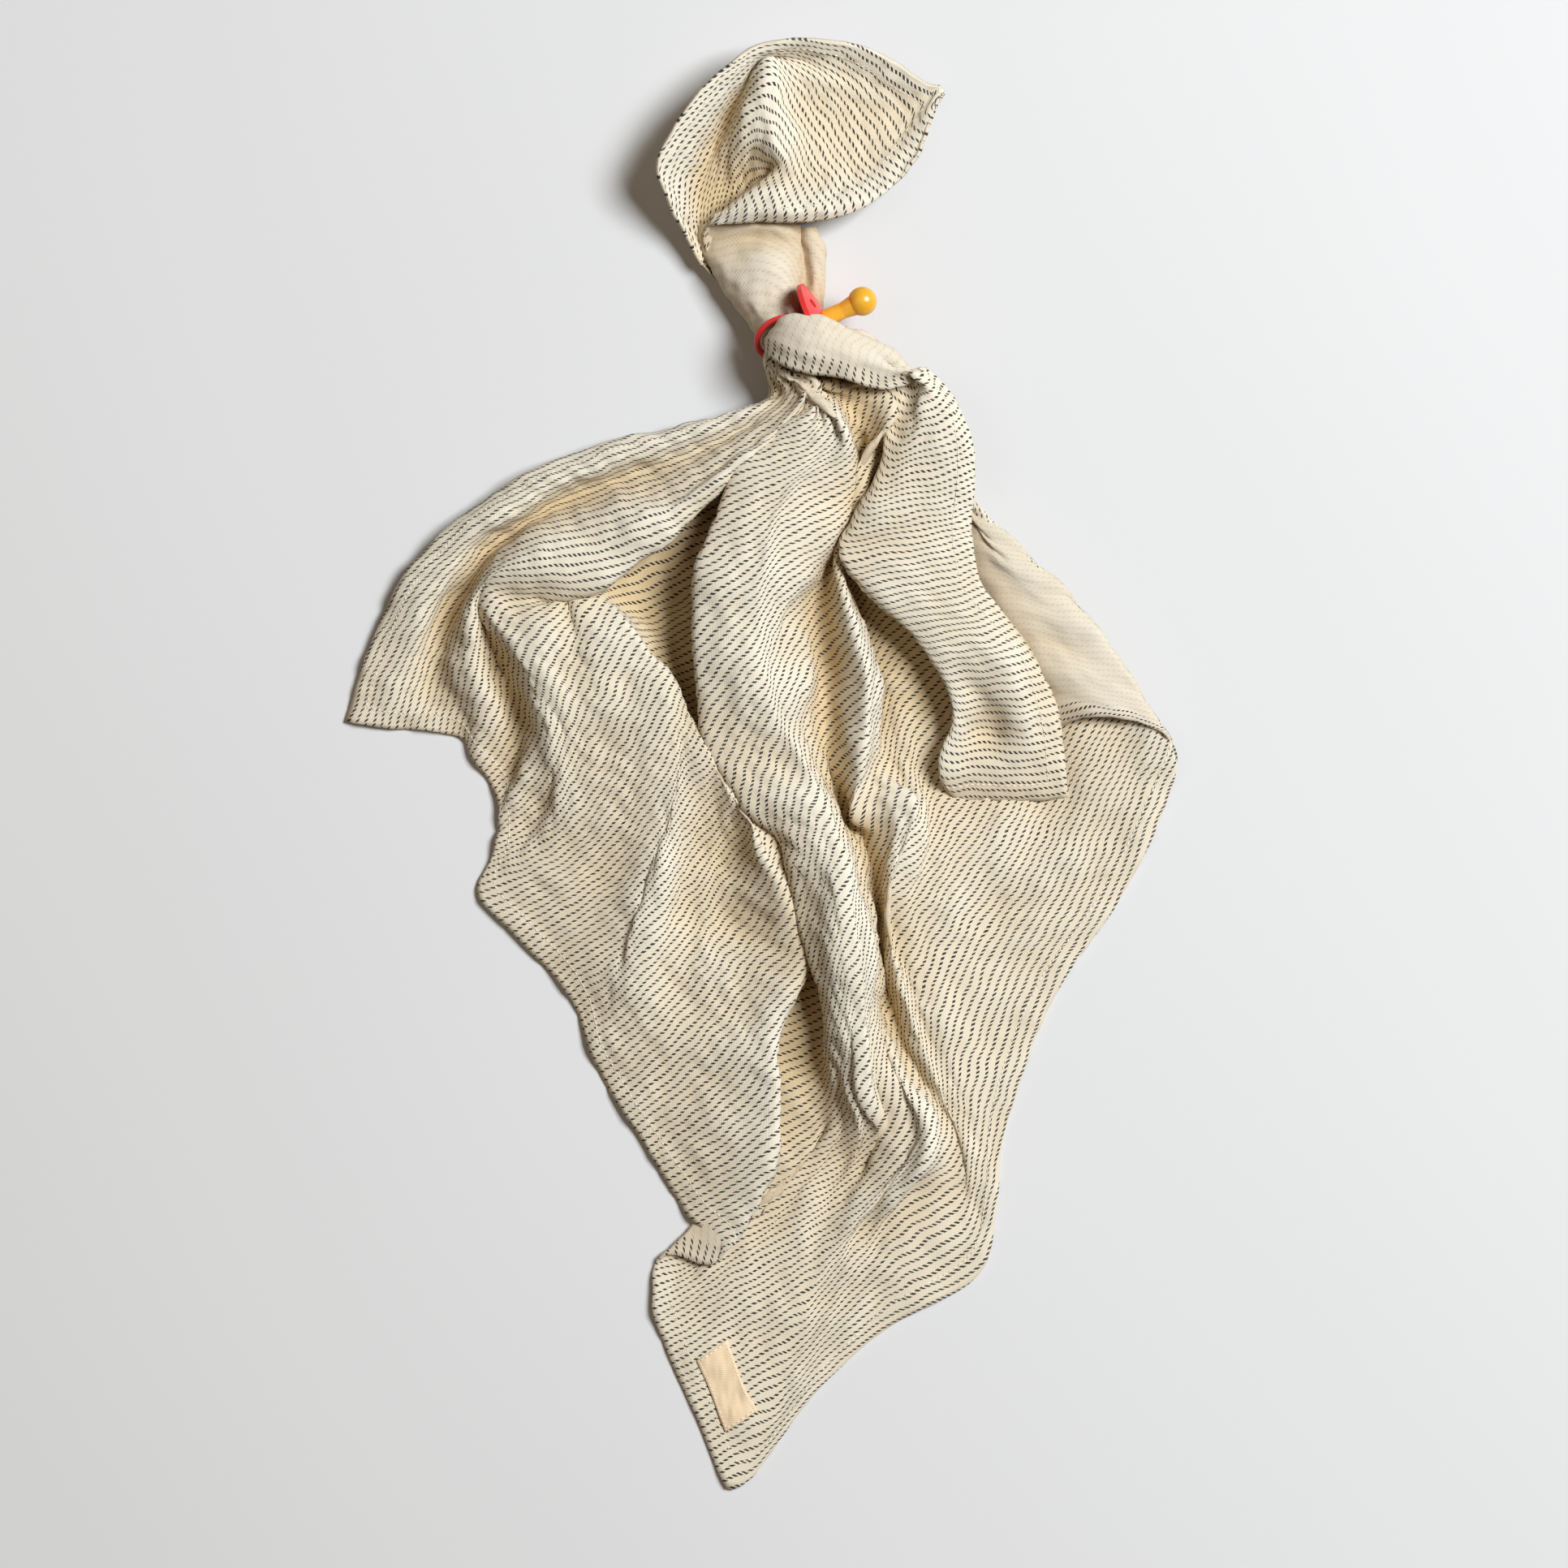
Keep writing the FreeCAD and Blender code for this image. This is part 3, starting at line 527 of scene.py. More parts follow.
def even_angles(angles, lines, rows):
    """Angles for the rows between rays, as far apart in space as they can be, with one row on the far
    corner."""
    gap = np.linalg.norm(np.diff(lines, axis=0), axis=-1).mean(axis=1)
    room = np.concatenate([[0.0], np.cumsum(gap + ANGLE_ROOM * np.diff(angles))])
    fine = np.interp(np.linspace(0.0, room[-1], rows), room, angles)
    fine[np.argmin(np.abs(fine - 45.0))] = 45.0
    return fine


def bundle_point(angle):
    """Place on the rim of the gathered bundle where it passes the ring, for a ray of the body: the rays go
    once round it, from the left, under and up over the right."""
    table = np.array(BUNDLE_TURNS)
    turns = through(table[:, 0], table[:, 1:], np.array([float(angle)]))[0, 0]
    return tuple(rim_point(turns))


def rim_point(turns):
    """Place at an angle of turns, in degrees, round the bundle in the ring's plane: 0 towards the teat, 90
    up."""
    turn = math.radians(turns)
    return BUNDLE_CENTRE + BUNDLE_RADIUS * (math.cos(turn) * TEAT_WAY + math.sin(turn) * HINGE_WAY)


def flower_grid(rows, columns):
    """Grid of the opened corner, rows by angle from one hem to the other and columns outward from the
    corner. All rays share their knots, the means of their own shares of length, so that a fold runs
    smoothly across them."""
    angles = np.array([ray[0] for ray in FLOWER_RAYS])
    points = np.array([ray[1] for ray in FLOWER_RAYS], dtype=float)
    paths = np.array([path_length(line) for line in points])
    knots = (paths / paths[:, -1:]).mean(axis=0)
    lines = np.array([through(knots, line, np.linspace(0.0, 1.0, columns)) for line in points])
    fine = np.linspace(0.0, 90.0, rows)
    grid = through(angles, lines.reshape(len(angles), -1), fine).reshape(rows, columns, 3)
    ends = through(angles, paths[:, -1:], fine)
    distance = FLOWER_START + ends * np.linspace(0.0, 1.0, columns)[None, :] / TAKE_UP
    return grid, flat_place(fine[:, None], distance)


def neck_grid(rows, columns):
    """Grid of the neck, rows round it and columns from under the lip to the ring; the rows close on
    themselves."""
    lines = []
    for turns, places in NECK_LINES:
        points = np.array((*places, tuple(rim_point(turns))), dtype=float)
        path = path_length(points)
        lines.append(through(path / path[-1], points, np.linspace(0.0, 1.0, columns)))
    lines = np.array(lines)
    count = len(lines)
    looped = np.concatenate([lines[-2:], lines, lines[:3]])
    around = np.arange(-2, count + 3, dtype=float)
    fine = np.linspace(0.0, count, rows)
    grid = through(around, looped.reshape(len(looped), -1), fine).reshape(rows, columns, 3)
    distance = np.linspace(NECK_START, RING_RADIUS, columns)[None, :] + np.zeros((rows, 1))
    angle = NECK_ANGLES[0] + NECK_ANGLES[1] * np.linspace(0.0, 1.0, rows)[:, None]
    return grid[::-1], flat_place(angle, distance)


def waves(flat, length, seed):
    """Sum of WAVE_COUNT plane waves over the flat cloth, each with its own way, length near length mm and
    phase, scaled to a spread of about one."""
    count = WAVE_COUNT
    random = np.random.default_rng(seed)
    ways = random.uniform(0.0, 2 * math.pi, count)
    sizes = 2 * math.pi / (length * random.uniform(*WAVE_SPREAD, count))
    phases = random.uniform(0.0, 2 * math.pi, count)
    total = np.zeros(flat.shape[:-1])
    for way, size, phase in zip(ways, sizes, phases):
        total += np.sin((flat[..., 0] * math.cos(way) + flat[..., 1] * math.sin(way)) * size + phase)
    return total / math.sqrt(count / 2)


def hem_share(flat):
    """1 on the turned hem, 0 on the open cloth, smooth between, from the distance to the nearest edge."""
    edge = np.minimum(np.minimum(flat[..., 0], flat[..., 1]), SIDE - np.maximum(flat[..., 0], flat[..., 1]))
    t = np.clip((HEM_WIDTH + HEM_EASE - edge) / (2.0 * HEM_EASE), 0.0, 1.0)
    return t * t * (3 - 2 * t)


def two_sided(grid, half, places):
    """Vertices, faces, places and side (0 face, 1 back and rim) of a sheet round a grid: the grid moved by
    half its thickness each way along its normals, and a rim joining the two at every free edge."""
    rows, columns = grid.shape[:2]
    n = normals(grid)
    points = np.concatenate([(grid + n * half).reshape(-1, 3), (grid - n * half).reshape(-1, 3)])
    index = np.arange(rows * columns).reshape(rows, columns)
    a, b, c, d = index[:-1, :-1], index[1:, :-1], index[1:, 1:], index[:-1, 1:]
    face = np.stack([a, d, c, b], axis=-1).reshape(-1, 4)
    back = face[:, ::-1] + rows * columns
    loop = np.concatenate([index[:, 0], index[-1, 1:], index[-2::-1, -1], index[0, -2:0:-1]])
    after = np.roll(loop, -1)
    rim = np.stack([loop, after, after + rows * columns, loop + rows * columns], axis=-1)
    faces = np.concatenate([face, back, rim])
    side = np.concatenate([np.zeros(len(face)), np.ones(len(back)), np.ones(len(rim))]).astype(int)
    return points, faces, np.tile(places.reshape(-1, places.shape[-1]), (2, 1)), side


# ---------------------------------------------------------------- things sewn to the cloth


def on_cloth(grid, flat, wanted):
    """Places and unit normals, on a laid grid, of wanted (u, v) places of the flat cloth: the row by the
    place's angle, the column by its distance from the pulled corner, and a weighted mean of the four points
    round it."""
    angles = np.arctan2(flat[:, -1, 0], flat[:, -1, 1])
    angle = np.arctan2(wanted[:, 0], wanted[:, 1])
    row = np.interp(angle, angles, np.arange(len(angles)))
    near = np.interp(row, np.arange(len(angles)), np.linalg.norm(flat[:, 0], axis=-1))
    far = np.interp(row, np.arange(len(angles)), np.linalg.norm(flat[:, -1], axis=-1))
    share = np.clip((np.linalg.norm(wanted, axis=-1) - near) / (far - near), 0.0, 1.0)
    column = share * (grid.shape[1] - 1)
    i = np.minimum(row.astype(int), grid.shape[0] - 2)
    j = np.minimum(column.astype(int), grid.shape[1] - 2)
    p, q = (row - i)[:, None], (column - j)[:, None]
    answers = []
    for field in (grid, normals(grid)):
        low = field[i, j] * (1 - q) + field[i, j + 1] * q
        high = field[i + 1, j] * (1 - q) + field[i + 1, j + 1] * q
        answers.append(low * (1 - p) + high * p)
    return answers[0], answers[1] / np.linalg.norm(answers[1], axis=-1, keepdims=True)


def seam_line(corners, pitch):
    """Pairs of (u, v) places, the two ends of every stitch along a line through corners: a stitch takes
    STITCH_SHARE of each pitch."""
    starts, ends = [], []
    for a, b in zip(corners[:-1], corners[1:]):
        a, b = np.array(a, dtype=float), np.array(b, dtype=float)
        count = int(np.linalg.norm(b - a) // pitch)
        steps = (np.arange(count)[:, None] + 0.5) / count
        half = 0.5 * STITCH_SHARE / count
        starts.append(a + (b - a) * (steps - half))
        ends.append(a + (b - a) * (steps + half))
    return np.concatenate(starts), np.concatenate(ends)


def stitches(starts, ends, ups, radius):
    """Vertices and quads of one small bead of thread for each stitch, pressed into the cloth: three
    six-sided rings along it, the end ones smaller, each wider than high, with both ends closed."""
    middle = 0.5 * (starts + ends)
    along = ends - starts
    across = np.cross(ups, along / np.linalg.norm(along, axis=-1, keepdims=True))
    turn = np.arange(6) * math.pi / 3
    rings = []
    for place, size in STITCH_RINGS:
        side = across[:, None, :] * (np.cos(turn) * STITCH_FLAT * radius * size)[None, :, None]
        rise = ups[:, None, :] * (np.sin(turn) * radius * size)[None, :, None]
        rings.append(middle[:, None, :] + along[:, None, :] * place + side + rise)
    points = np.stack(rings, axis=1)
    step = np.arange(6)
    walls = [np.stack([step, (step + 1) % 6, (step + 1) % 6 + 6, step + 6], axis=-1) + 6 * k for k in (0, 1)]
    caps = np.array([(3, 2, 1, 0), (5, 4, 3, 0), (12, 13, 14, 15), (12, 15, 16, 17)])
    faces = np.concatenate([*walls, caps])
    faces = faces[None] + (18 * np.arange(len(starts)))[:, None, None]
    return points.reshape(-1, 3), faces.reshape(-1, 4)


# ---------------------------------------------------------------- materials


def linear(code):
    """Linear RGBA of an sRGB colour written as a hex string such as 'E8E0CC'."""
    parts = [int(code[i : i + 2], 16) / 255 for i in (0, 2, 4)]
    return tuple(c / 12.92 if c <= 0.04045 else ((c + 0.055) / 1.055) ** 2.4 for c in parts) + (1.0,)


def feed(node, inputs):
    """Links sockets or sets plain values into a node's inputs: a tuple in the node's own order, or a dict
    by the inputs' names or places."""
    for place, value in inputs.items() if isinstance(inputs, dict) else enumerate(inputs):
        if isinstance(value, bpy.types.NodeSocket):
            node.id_data.links.new(value, node.inputs[place])
        else:
            node.inputs[place].default_value = value


def add(tree, kind, inputs=(), **settings):
    """Adds a shader node of a kind to a tree with its settings and inputs, and returns its outputs."""
    made = tree.nodes.new("ShaderNode" + kind)
    for name, value in settings.items():
        setattr(made, name, value)
    feed(made, inputs)
    return made.outputs


def new_material(name):
    """A material of that name, the function that adds a node to it, and its Principled shader."""
    material = bpy.data.materials.new(name)
    material.use_nodes = True
    tree = material.node_tree
    return material, functools.partial(add, tree), tree.nodes["Principled BSDF"]


def muslin(name, open_stripes):
    """Crinkled cotton gauze, piece-dyed cream with stripes of short slanted floats of dark weft. Seen close
    it is an open plain weave that is matt and a little fuzzy; the stripes are broken into dashes. On its
    back the stripes show only where the hem is turned over, and elsewhere their floats prick through as
    pale dots."""
    sizes = bpy.context.scene.comfort_cloth
    material, node, shader = new_material(name)
    place = node("UVMap", uv_map="threads")[0]
    across, along = (
        node("Math", (value, 1000.0), operation="MULTIPLY")[0] for value in node("SeparateXYZ", (place,))[:2]
    )
    # across the stripes: each stripe's own number, and the distance from its middle in mm
    pitch = sizes.stripe_pitch * 1000.0
    count = node("Math", (across, pitch), operation="DIVIDE")[0]
    turn = node("Math", (node("Math", (count,), operation="FRACT")[0], 0.5), operation="SUBTRACT")[0]
    off = node("Math", (turn, pitch), operation="MULTIPLY")[0]
    beside = node("Math", (off,), operation="ABSOLUTE")[0]
    band = (beside, STRIPE_HALF - STRIPE_SOFT, STRIPE_HALF + STRIPE_SOFT, 1.0, 0.0)
    stripe = node("MapRange", band, interpolation_type="SMOOTHSTEP")[0]
    # along the stripes: slanted floats, out of step from one stripe to the next
    slant = node("Math", (off, DASH_SLANT, along), operation="MULTIPLY_ADD")[0]
    own = node("Math", (node("Math", (count,), operation="FLOOR")[0], DASH_SHIFT), operation="MULTIPLY")[0]
    steps = node("Math", (slant, DASH_PITCH), operation="DIVIDE")[0]
    beat = node("Math", (node("Math", (steps, own), operation="ADD")[0],), operation="FRACT")[0]
    away = node("Math", (node("Math", (beat, 0.5), operation="SUBTRACT")[0],), operation="ABSOLUTE")[0]
    dash = node("MapRange", (away, *DASH_FADE, 1.0, 0.0), interpolation_type="SMOOTHSTEP")[0]
    marks = node("Math", (stripe, dash), operation="MULTIPLY")[0]
    worn = node("TexNoise", {"Vector": place, "Scale": 55.0, "Detail": 2.0})[0]
    strength = node("Math", (worn, 0.35, 0.80), operation="MULTIPLY_ADD")[0]
    dark, light = linear("D6CBB0"), tuple(sizes.muslin_colour) + (1.0,)
    if not open_stripes:
        dark = linear("CDBC9E")
        light = tuple(part * BACK_TONE for part in sizes.muslin_colour) + (1.0,)
        ends = []
        for value in node("SeparateXYZ", (node("UVMap", uv_map="flat")[0],))[:2]:
            near = node("Math", (value, 1000.0), operation="MULTIPLY")[0]
            ends.append(near)
            ends.append(node("Math", (SIDE, near), operation="SUBTRACT")[0])
        edge = functools.reduce(lambda a, b: node("Math", (a, b), operation="MINIMUM")[0], ends)
        band = (edge, HEM_WIDTH - HEM_SHARP, HEM_WIDTH + HEM_SHARP, 1.0, BACK_SHOW)
        show = node("MapRange", band, interpolation_type="SMOOTHSTEP")[0]
        strength = node("Math", (strength, show), operation="MULTIPLY")[0]
    inked = node("Math", (marks, strength), operation="MULTIPLY", use_clamp=True)[0]
    cloud = node("TexNoise", {"Vector": place, "Scale": 28.0, "Detail": 4.0})[0]
    ground = node("Mix", {0: cloud, 6: dark, 7: light}, data_type="RGBA")[2]
    thread = node("Mix", {0: inked, 6: ground, 7: tuple(sizes.stripe_colour) + (1.0,)}, data_type="RGBA")[2]
    # painted shade: the colour is multiplied towards a brown tint by how deep the cloth lies between its
    # folds
    depth = node("Attribute", attribute_name="painted_shade_depth")["Fac"]
    painted_shade_colour = node("Mix", {0: depth, 6: thread, 7: PAINTED_SHADE_TINT}, data_type="RGBA", blend_type="MULTIPLY")[2]
    # the weave: two sets of threads, a little closer across than along
    weft, warp = (
        node("Math", (node("Math", (value, turns), operation="MULTIPLY")[0],), operation="SINE")[0]
        for value, turns in ((across, 2 * math.pi / WEAVE_PITCH), (along, 2 * math.pi / (WEAVE_PITCH * 1.1)))
    )
    gauze = node("Math", (weft, warp), operation="MULTIPLY")[0]
    floats = node("Math", (marks, 0.6), operation="MULTIPLY")[0]
    height = node("Math", (gauze, 0.5, floats), operation="MULTIPLY_ADD")[0]
    shade = node("Math", (gauze, 0.05, 0.97), operation="MULTIPLY_ADD")[0]
    feed(shader, {
        "Base Color": node("VectorMath", {0: painted_shade_colour, "Scale": shade}, operation="SCALE")[0],
        "Normal": node("Bump", {"Height": height, "Strength": 0.35, "Distance": 0.00025})[0],
        "Roughness": 0.92, "Specular IOR Level": 0.2, "Sheen Weight": 0.12, "Sheen Roughness": 0.6,
    })
    return material


def moulded_red():
    """Polypropylene, injection moulded with a satin finish: even strong red, broad soft highlights, and a
    faint unevenness of gloss from the mould's spark-eroded wall."""
    material, node, shader = new_material("polypropylene_satin_moulded")
    place = node("TexCoord")["Object"]
    grain = node("TexNoise", {"Vector": place, "Scale": 2600.0, "Detail": 3.0})[0]
    cloud = node("TexNoise", {"Vector": place, "Scale": 90.0, "Detail": 2.0})[0]
    feed(shader, {
        "Base Color": node("Mix", {0: cloud, 6: linear("D92B2B"), 7: linear("E8403A")}, data_type="RGBA")[2],
        "Roughness": node("Math", (cloud, 0.12, 0.30), operation="MULTIPLY_ADD")[0],
        "Normal": node("Bump", {"Height": grain, "Strength": 0.12, "Distance": 0.00008})[0],
        "IOR": 1.49, "Subsurface Weight": 0.05, "Subsurface Scale": 0.002,
    })
    return material


def natural_rubber():
    """Natural rubber latex, dipped in layers: amber, cloudy and see-through at once, smooth, with soft
    bright highlights and faint darker clouds where the dip ran thick."""
    material, node, shader = new_material("natural_rubber_dipped")
    cloud = node("TexNoise", {"Vector": node("TexCoord")["Object"], "Scale": 130.0, "Detail": 3.0})[0]
    feed(shader, {
        "Base Color": node("Mix", {0: cloud, 6: linear("E39A16"), 7: linear("F2B63C")}, data_type="RGBA")[2],
        "Roughness": 0.28, "IOR": 1.52, "Subsurface Weight": 0.5, "Subsurface Radius": (1.0, 0.5, 0.12),
        "Subsurface Scale": 0.004, "Coat Weight": 0.15,
    })
    return material


def woven_tape():
    """Cotton label tape, woven close as a twill and left undyed: flat tan with a fine rib, matt."""
    material, node, shader = new_material("cotton_tape_woven")
    place = node("UVMap", uv_map="flat")[0]
    across, along = node("SeparateXYZ", (place,))[:2]
    slant = node("Math", (along, 0.6, across), operation="MULTIPLY_ADD")[0]
    turns = node("Math", (slant, 2 * math.pi / TAPE_RIB), operation="MULTIPLY")[0]
    rib = node("Math", (turns,), operation="SINE")[0]
    cloud = node("TexNoise", {"Vector": place, "Scale": 160.0, "Detail": 3.0})[0]
    mixed = node("Math", (rib, 0.18, cloud), operation="MULTIPLY_ADD")[0]
    feed(shader, {
        "Base Color": node("Mix", {0: mixed, 6: linear("DDBE93"), 7: linear("EAD3AE")}, data_type="RGBA")[2],
        "Normal": node("Bump", {"Height": rib, "Strength": 0.3, "Distance": 0.0001})[0],
        "Roughness": 0.85, "Sheen Weight": 0.08,
    })
    return material


def cotton_thread():
    """Spun cotton sewing thread, two ply: cream, matt, with a twist too fine to show, so only its tone
    varies."""
    material, node, shader = new_material("cotton_thread_spun")
    cloud = node("TexNoise", {"Vector": node("TexCoord")["Object"], "Scale": 700.0, "Detail": 1.0})[0]
    feed(shader, {
        "Base Color": node("Mix", {0: cloud, 6: linear("D8CBB0"), 7: linear("EFE6D2")}, data_type="RGBA")[2],
        "Roughness": 0.8,
    })
    return material


def studio_floor():
    """Matt painted board: an even cool light grey with the faintest cloudiness."""
    material, node, shader = new_material("painted_board_matt")
    cloud = node("TexNoise", {"Vector": node("TexCoord")["Object"], "Scale": 1.5, "Detail": 2.0})[0]
    tone = {0: cloud, 6: linear(FLOOR_DARK), 7: linear(FLOOR_LIGHT)}
    feed(shader, {
        "Base Color": node("Mix", tone, data_type="RGBA")[2],
        "Roughness": 0.9, "Specular IOR Level": 0.15,
    })
    return material


# ---------------------------------------------------------------- putting pieces in the scene


def add_piece(name, points_mm, faces, materials, chosen=None, flat_mm=None, smooth=True):
    """Object in the scene from vertices in mm and quads, with its materials, the material of each face, and
    its flat places in mm as the UV map flat, in metres."""
    mesh = bpy.data.meshes.new(name)
    mesh.from_pydata((points_mm * MM).tolist(), [], faces.tolist())
    for material in materials:
        mesh.materials.append(material)
    if chosen is not None:
        mesh.polygons.foreach_set("material_index", chosen)
    for number, layer_name in enumerate(("flat", "threads")):
        if flat_mm is not None and flat_mm.shape[1] > 2 * number:
            layer = mesh.uv_layers.new(name=layer_name)
            corner = np.empty(len(mesh.loops), dtype=np.int32)
            mesh.loops.foreach_get("vertex_index", corner)
            values = flat_mm[corner, 2 * number : 2 * number + 2] * MM
            layer.data.foreach_set("uv", values.astype(np.float32).ravel())
    mesh.polygons.foreach_set("use_smooth", np.full(len(mesh.polygons), smooth))
    mesh.update()
    piece = bpy.data.objects.new(name, mesh)
    bpy.context.scene.collection.objects.link(piece)
    return piece


def give(node, material):
    """Gives a CAD node's object a material in every slot."""
    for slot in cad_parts[node].material_slots:
        slot.material = material


class ComfortClothSizes(bpy.types.PropertyGroup):
    """Sizes and colours that a user would change."""

    stripe_pitch: FloatProperty(
        name="Stripe pitch", description="Distance from one dark stripe to the next on the flat cloth",
        default=0.0043, min=0.003, max=0.02, unit="LENGTH",
    )
    crinkle: FloatProperty(
        name="Crinkle", description="Height of the gauze's crinkles", default=0.00030, min=0.0, max=0.002,
        unit="LENGTH",
    )
    muslin_colour: FloatVectorProperty(
        name="Muslin colour", description="Colour of the undyed gauze", subtype="COLOR", size=3,
        default=linear("E4DAC4")[:3], min=0.0, max=1.0,
    )
    stripe_colour: FloatVectorProperty(
        name="Stripe colour", description="Colour of the dark weft", subtype="COLOR", size=3,
        default=linear("2D2C28")[:3], min=0.0, max=1.0,
    )


def painted_shade_depth(points):
    """How deep each point lies between folds, from 0 to 1, which sets how much painted shade its colour
    takes: the highest cloth over each cell of the floor, averaged with its neighbours many times over, less
    the point's own height, as a share of the depth at which the painted shade is full."""
    place = (points[:, :2] - points[:, :2].min(axis=0)) / PAINTED_SHADE_CELL
    cell = place.astype(int)
    share = place - cell
    tops = np.zeros(cell.max(axis=0) + 2)
    np.maximum.at(tops, (cell[:, 0], cell[:, 1]), points[:, 2])
    for _ in range(PAINTED_SHADE_ROUNDS):
        wide = np.pad(tops, 1, mode="edge")
        tops = (tops + wide[2:, 1:-1] + wide[:-2, 1:-1] + wide[1:-1, 2:] + wide[1:-1, :-2]) / 5.0
    level = np.zeros(len(points))
    for step in ((0, 0), (1, 0), (0, 1), (1, 1)):
        weight = np.prod(np.where(np.array(step) == 1, share, 1.0 - share), axis=1)
        level += weight * tops[cell[:, 0] + step[0], cell[:, 1] + step[1]]
    return np.clip((level - points[:, 2]) / PAINTED_SHADE_FULL_DEPTH + PAINTED_SHADE_START, 0.0, 1.0)


@functools.lru_cache(maxsize=1)
def cloth_parts(crinkle):
    """The cloth's body, flower and neck, each as its grid, its flat places and its thread places in mm. The
    body is relaxed; all are raised by crinkle mm of waves, and their threads waver in the sheet."""
    net, flat = body_grid(*BODY_COARSE)
    grip = np.full(net.shape[:2] + (1,), BODY_GRIP)
    grip[:, :RING_COLUMNS] = RING_GRIP
    laid = relax(net.copy(), flat * TAKE_UP, net, grip, BODY_ROUNDS, FLOOR_GAP)
    parts = [(resample(laid, *BODY_FINE), resample(flat, *BODY_FINE)), flower_grid(*FLOWER_FINE)]
    parts.append(neck_grid(*NECK_FINE))
    crinkled = []
    for grid, flat in parts:
        threads = thread_places(grid, flat)
        broad, fine = (waves(threads, length, SEED + 1 + k) for k, length in enumerate(BUMP_LENGTHS))
        bumps = broad + FINE_SHARE * fine
        sag = waves(threads, SAG_LENGTH, SEED)
        grid = grid + normals(grid) * (bumps * crinkle + sag * SAG)[..., None]
        grid[..., 2] = np.maximum(grid[..., 2], FLOOR_GAP)
        waver = np.stack([waves(threads, WAVER_LENGTH, SEED + 3 + k) for k in (0, 1)], axis=-1)
        crinkled.append((grid, flat, threads + WAVER * waver))
    return crinkled


def sewn_on(name, node):
    """Makes a piece of the cloth's trimmings ride on the cloth and stand for its CAD node."""
    piece = bpy.data.objects[name]
    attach(piece, "cloth")
    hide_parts(node)


def sew(name, node, runs, pitch, lift):
    """Adds one piece of stitches along runs, each a grid, its flat places and the corners of its seam, with
    the stitches' middles lift mm off the sheet's middle."""
    points, faces, start = [], [], 0
    for grid, flat, corners in runs:
        first, last = seam_line(corners, pitch)
        a, ups = on_cloth(grid, flat, first)
        b, _ = on_cloth(grid, flat, last)
        p, f = stitches(a + ups * lift, b + ups * lift, ups, THREAD_RADIUS)
        points.append(p)
        faces.append(f + start)
        start += len(p)
    add_piece(name, np.concatenate(points), np.concatenate(faces), [cotton_thread()])
    sewn_on(name, node)


class OBJECT_OT_hem_stitches(bpy.types.Operator):
    """Adds the stitches that hold the turned hem"""

    bl_idname = "object.comfort_hem_stitches"
    bl_label = "Hem stitches"

    def execute(self, context):
        """Sews along all four hems, on the loose body and on the opened corner."""
        body, flower, _ = cloth_parts(context.scene.comfort_cloth.crinkle / MM)
        inner, far, near = SEAM_INSET, SIDE - SEAM_INSET, RING_RADIUS + SEAM_FROM_RING
        outer = FLOWER_SEAM_END
        runs = (
            (*body[:2], ((inner, near), (inner, far), (far, far), (far, inner), (near, inner))),
            (*flower[:2], ((inner, outer), (inner, inner), (outer, inner))),
        )
        sew("hem_stitches", "hem_thread", runs, HEM_STITCH, STITCH_RISE)
        return {"FINISHED"}


class OBJECT_OT_label(bpy.types.Operator):
    """Adds the woven label and the stitches round its border"""

    bl_idname = "object.comfort_label"
    bl_label = "Woven label"

    def execute(self, context):
        """Lays the tape on the cloth near the far corner, and sews round it just inside its border."""
        grid, flat, _ = cloth_parts(context.scene.comfort_cloth.crinkle / MM)[0]
        high = (SIDE - LABEL_FROM_CORNER, SIDE - LABEL_FROM_HEM)
        low = (high[0] - LABEL_LENGTH, high[1] - LABEL_WIDTH)
        sides = [np.linspace(*span) for span in zip(low, high, LABEL_GRID)]
        u, v = np.meshgrid(*sides, indexing="ij")
        flat_label = np.stack([u, v], axis=-1)
        places, ups = on_cloth(grid, flat, flat_label.reshape(-1, 2))
        laid = (places + ups * LABEL_RISE).reshape(*u.shape, 3)
        points, faces, square, _ = two_sided(laid[::-1], LABEL_HALF, flat_label[::-1])
        add_piece("stitched_label", points, faces, [woven_tape()], flat_mm=square)
        sewn_on("stitched_label", "woven_label")
        a, b = (low[0] + LABEL_INSET, low[1] + LABEL_INSET), (high[0] - LABEL_INSET, high[1] - LABEL_INSET)
        border = (a, (b[0], a[1]), b, (a[0], b[1]), a)
        lift = LABEL_RISE + LABEL_HALF
        sew("label_stitches", "label_stitching", ((grid, flat, border),), LABEL_STITCH, lift)
        return {"FINISHED"}


class OBJECT_OT_comfort_cloth(bpy.types.Operator):
    """Adds the gathered muslin cloth: its loose body, its neck and its opened corner as one sheet"""

    bl_idname = "object.comfort_cloth"
    bl_label = "Muslin cloth"

    def execute(self, context):
        """Gives the three stretches their thickness and joins them into one mesh."""
        points, faces, places, sides, start = [], [], [], [], 0
        for grid, flat, threads in cloth_parts(context.scene.comfort_cloth.crinkle / MM):
            half = (SHEET_HALF + (HEM_HALF - SHEET_HALF) * hem_share(flat))[..., None]
            p, f, q, s = two_sided(grid, half, np.concatenate([flat, threads], axis=-1))
            points.append(p)
            faces.append(f + start)
            places.append(q)
            sides.append(s)
            start += len(p)
        materials = [muslin("cotton_gauze_striped", True), muslin("cotton_gauze_back", False)]
        piece = add_piece(
            "gathered_muslin", np.concatenate(points), np.concatenate(faces), materials,
            np.concatenate(sides), np.concatenate(places),
        )
        # painted shade: each point's depth between folds, which the cloth's material turns into darker,
        # browner colour
        depth = piece.data.attributes.new("painted_shade_depth", "FLOAT", "POINT")
        depth.data.foreach_set("value", painted_shade_depth(np.concatenate(points)).astype(np.float32))
        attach(piece, "cloth")
        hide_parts("muslin_cloth")
        return {"FINISHED"}


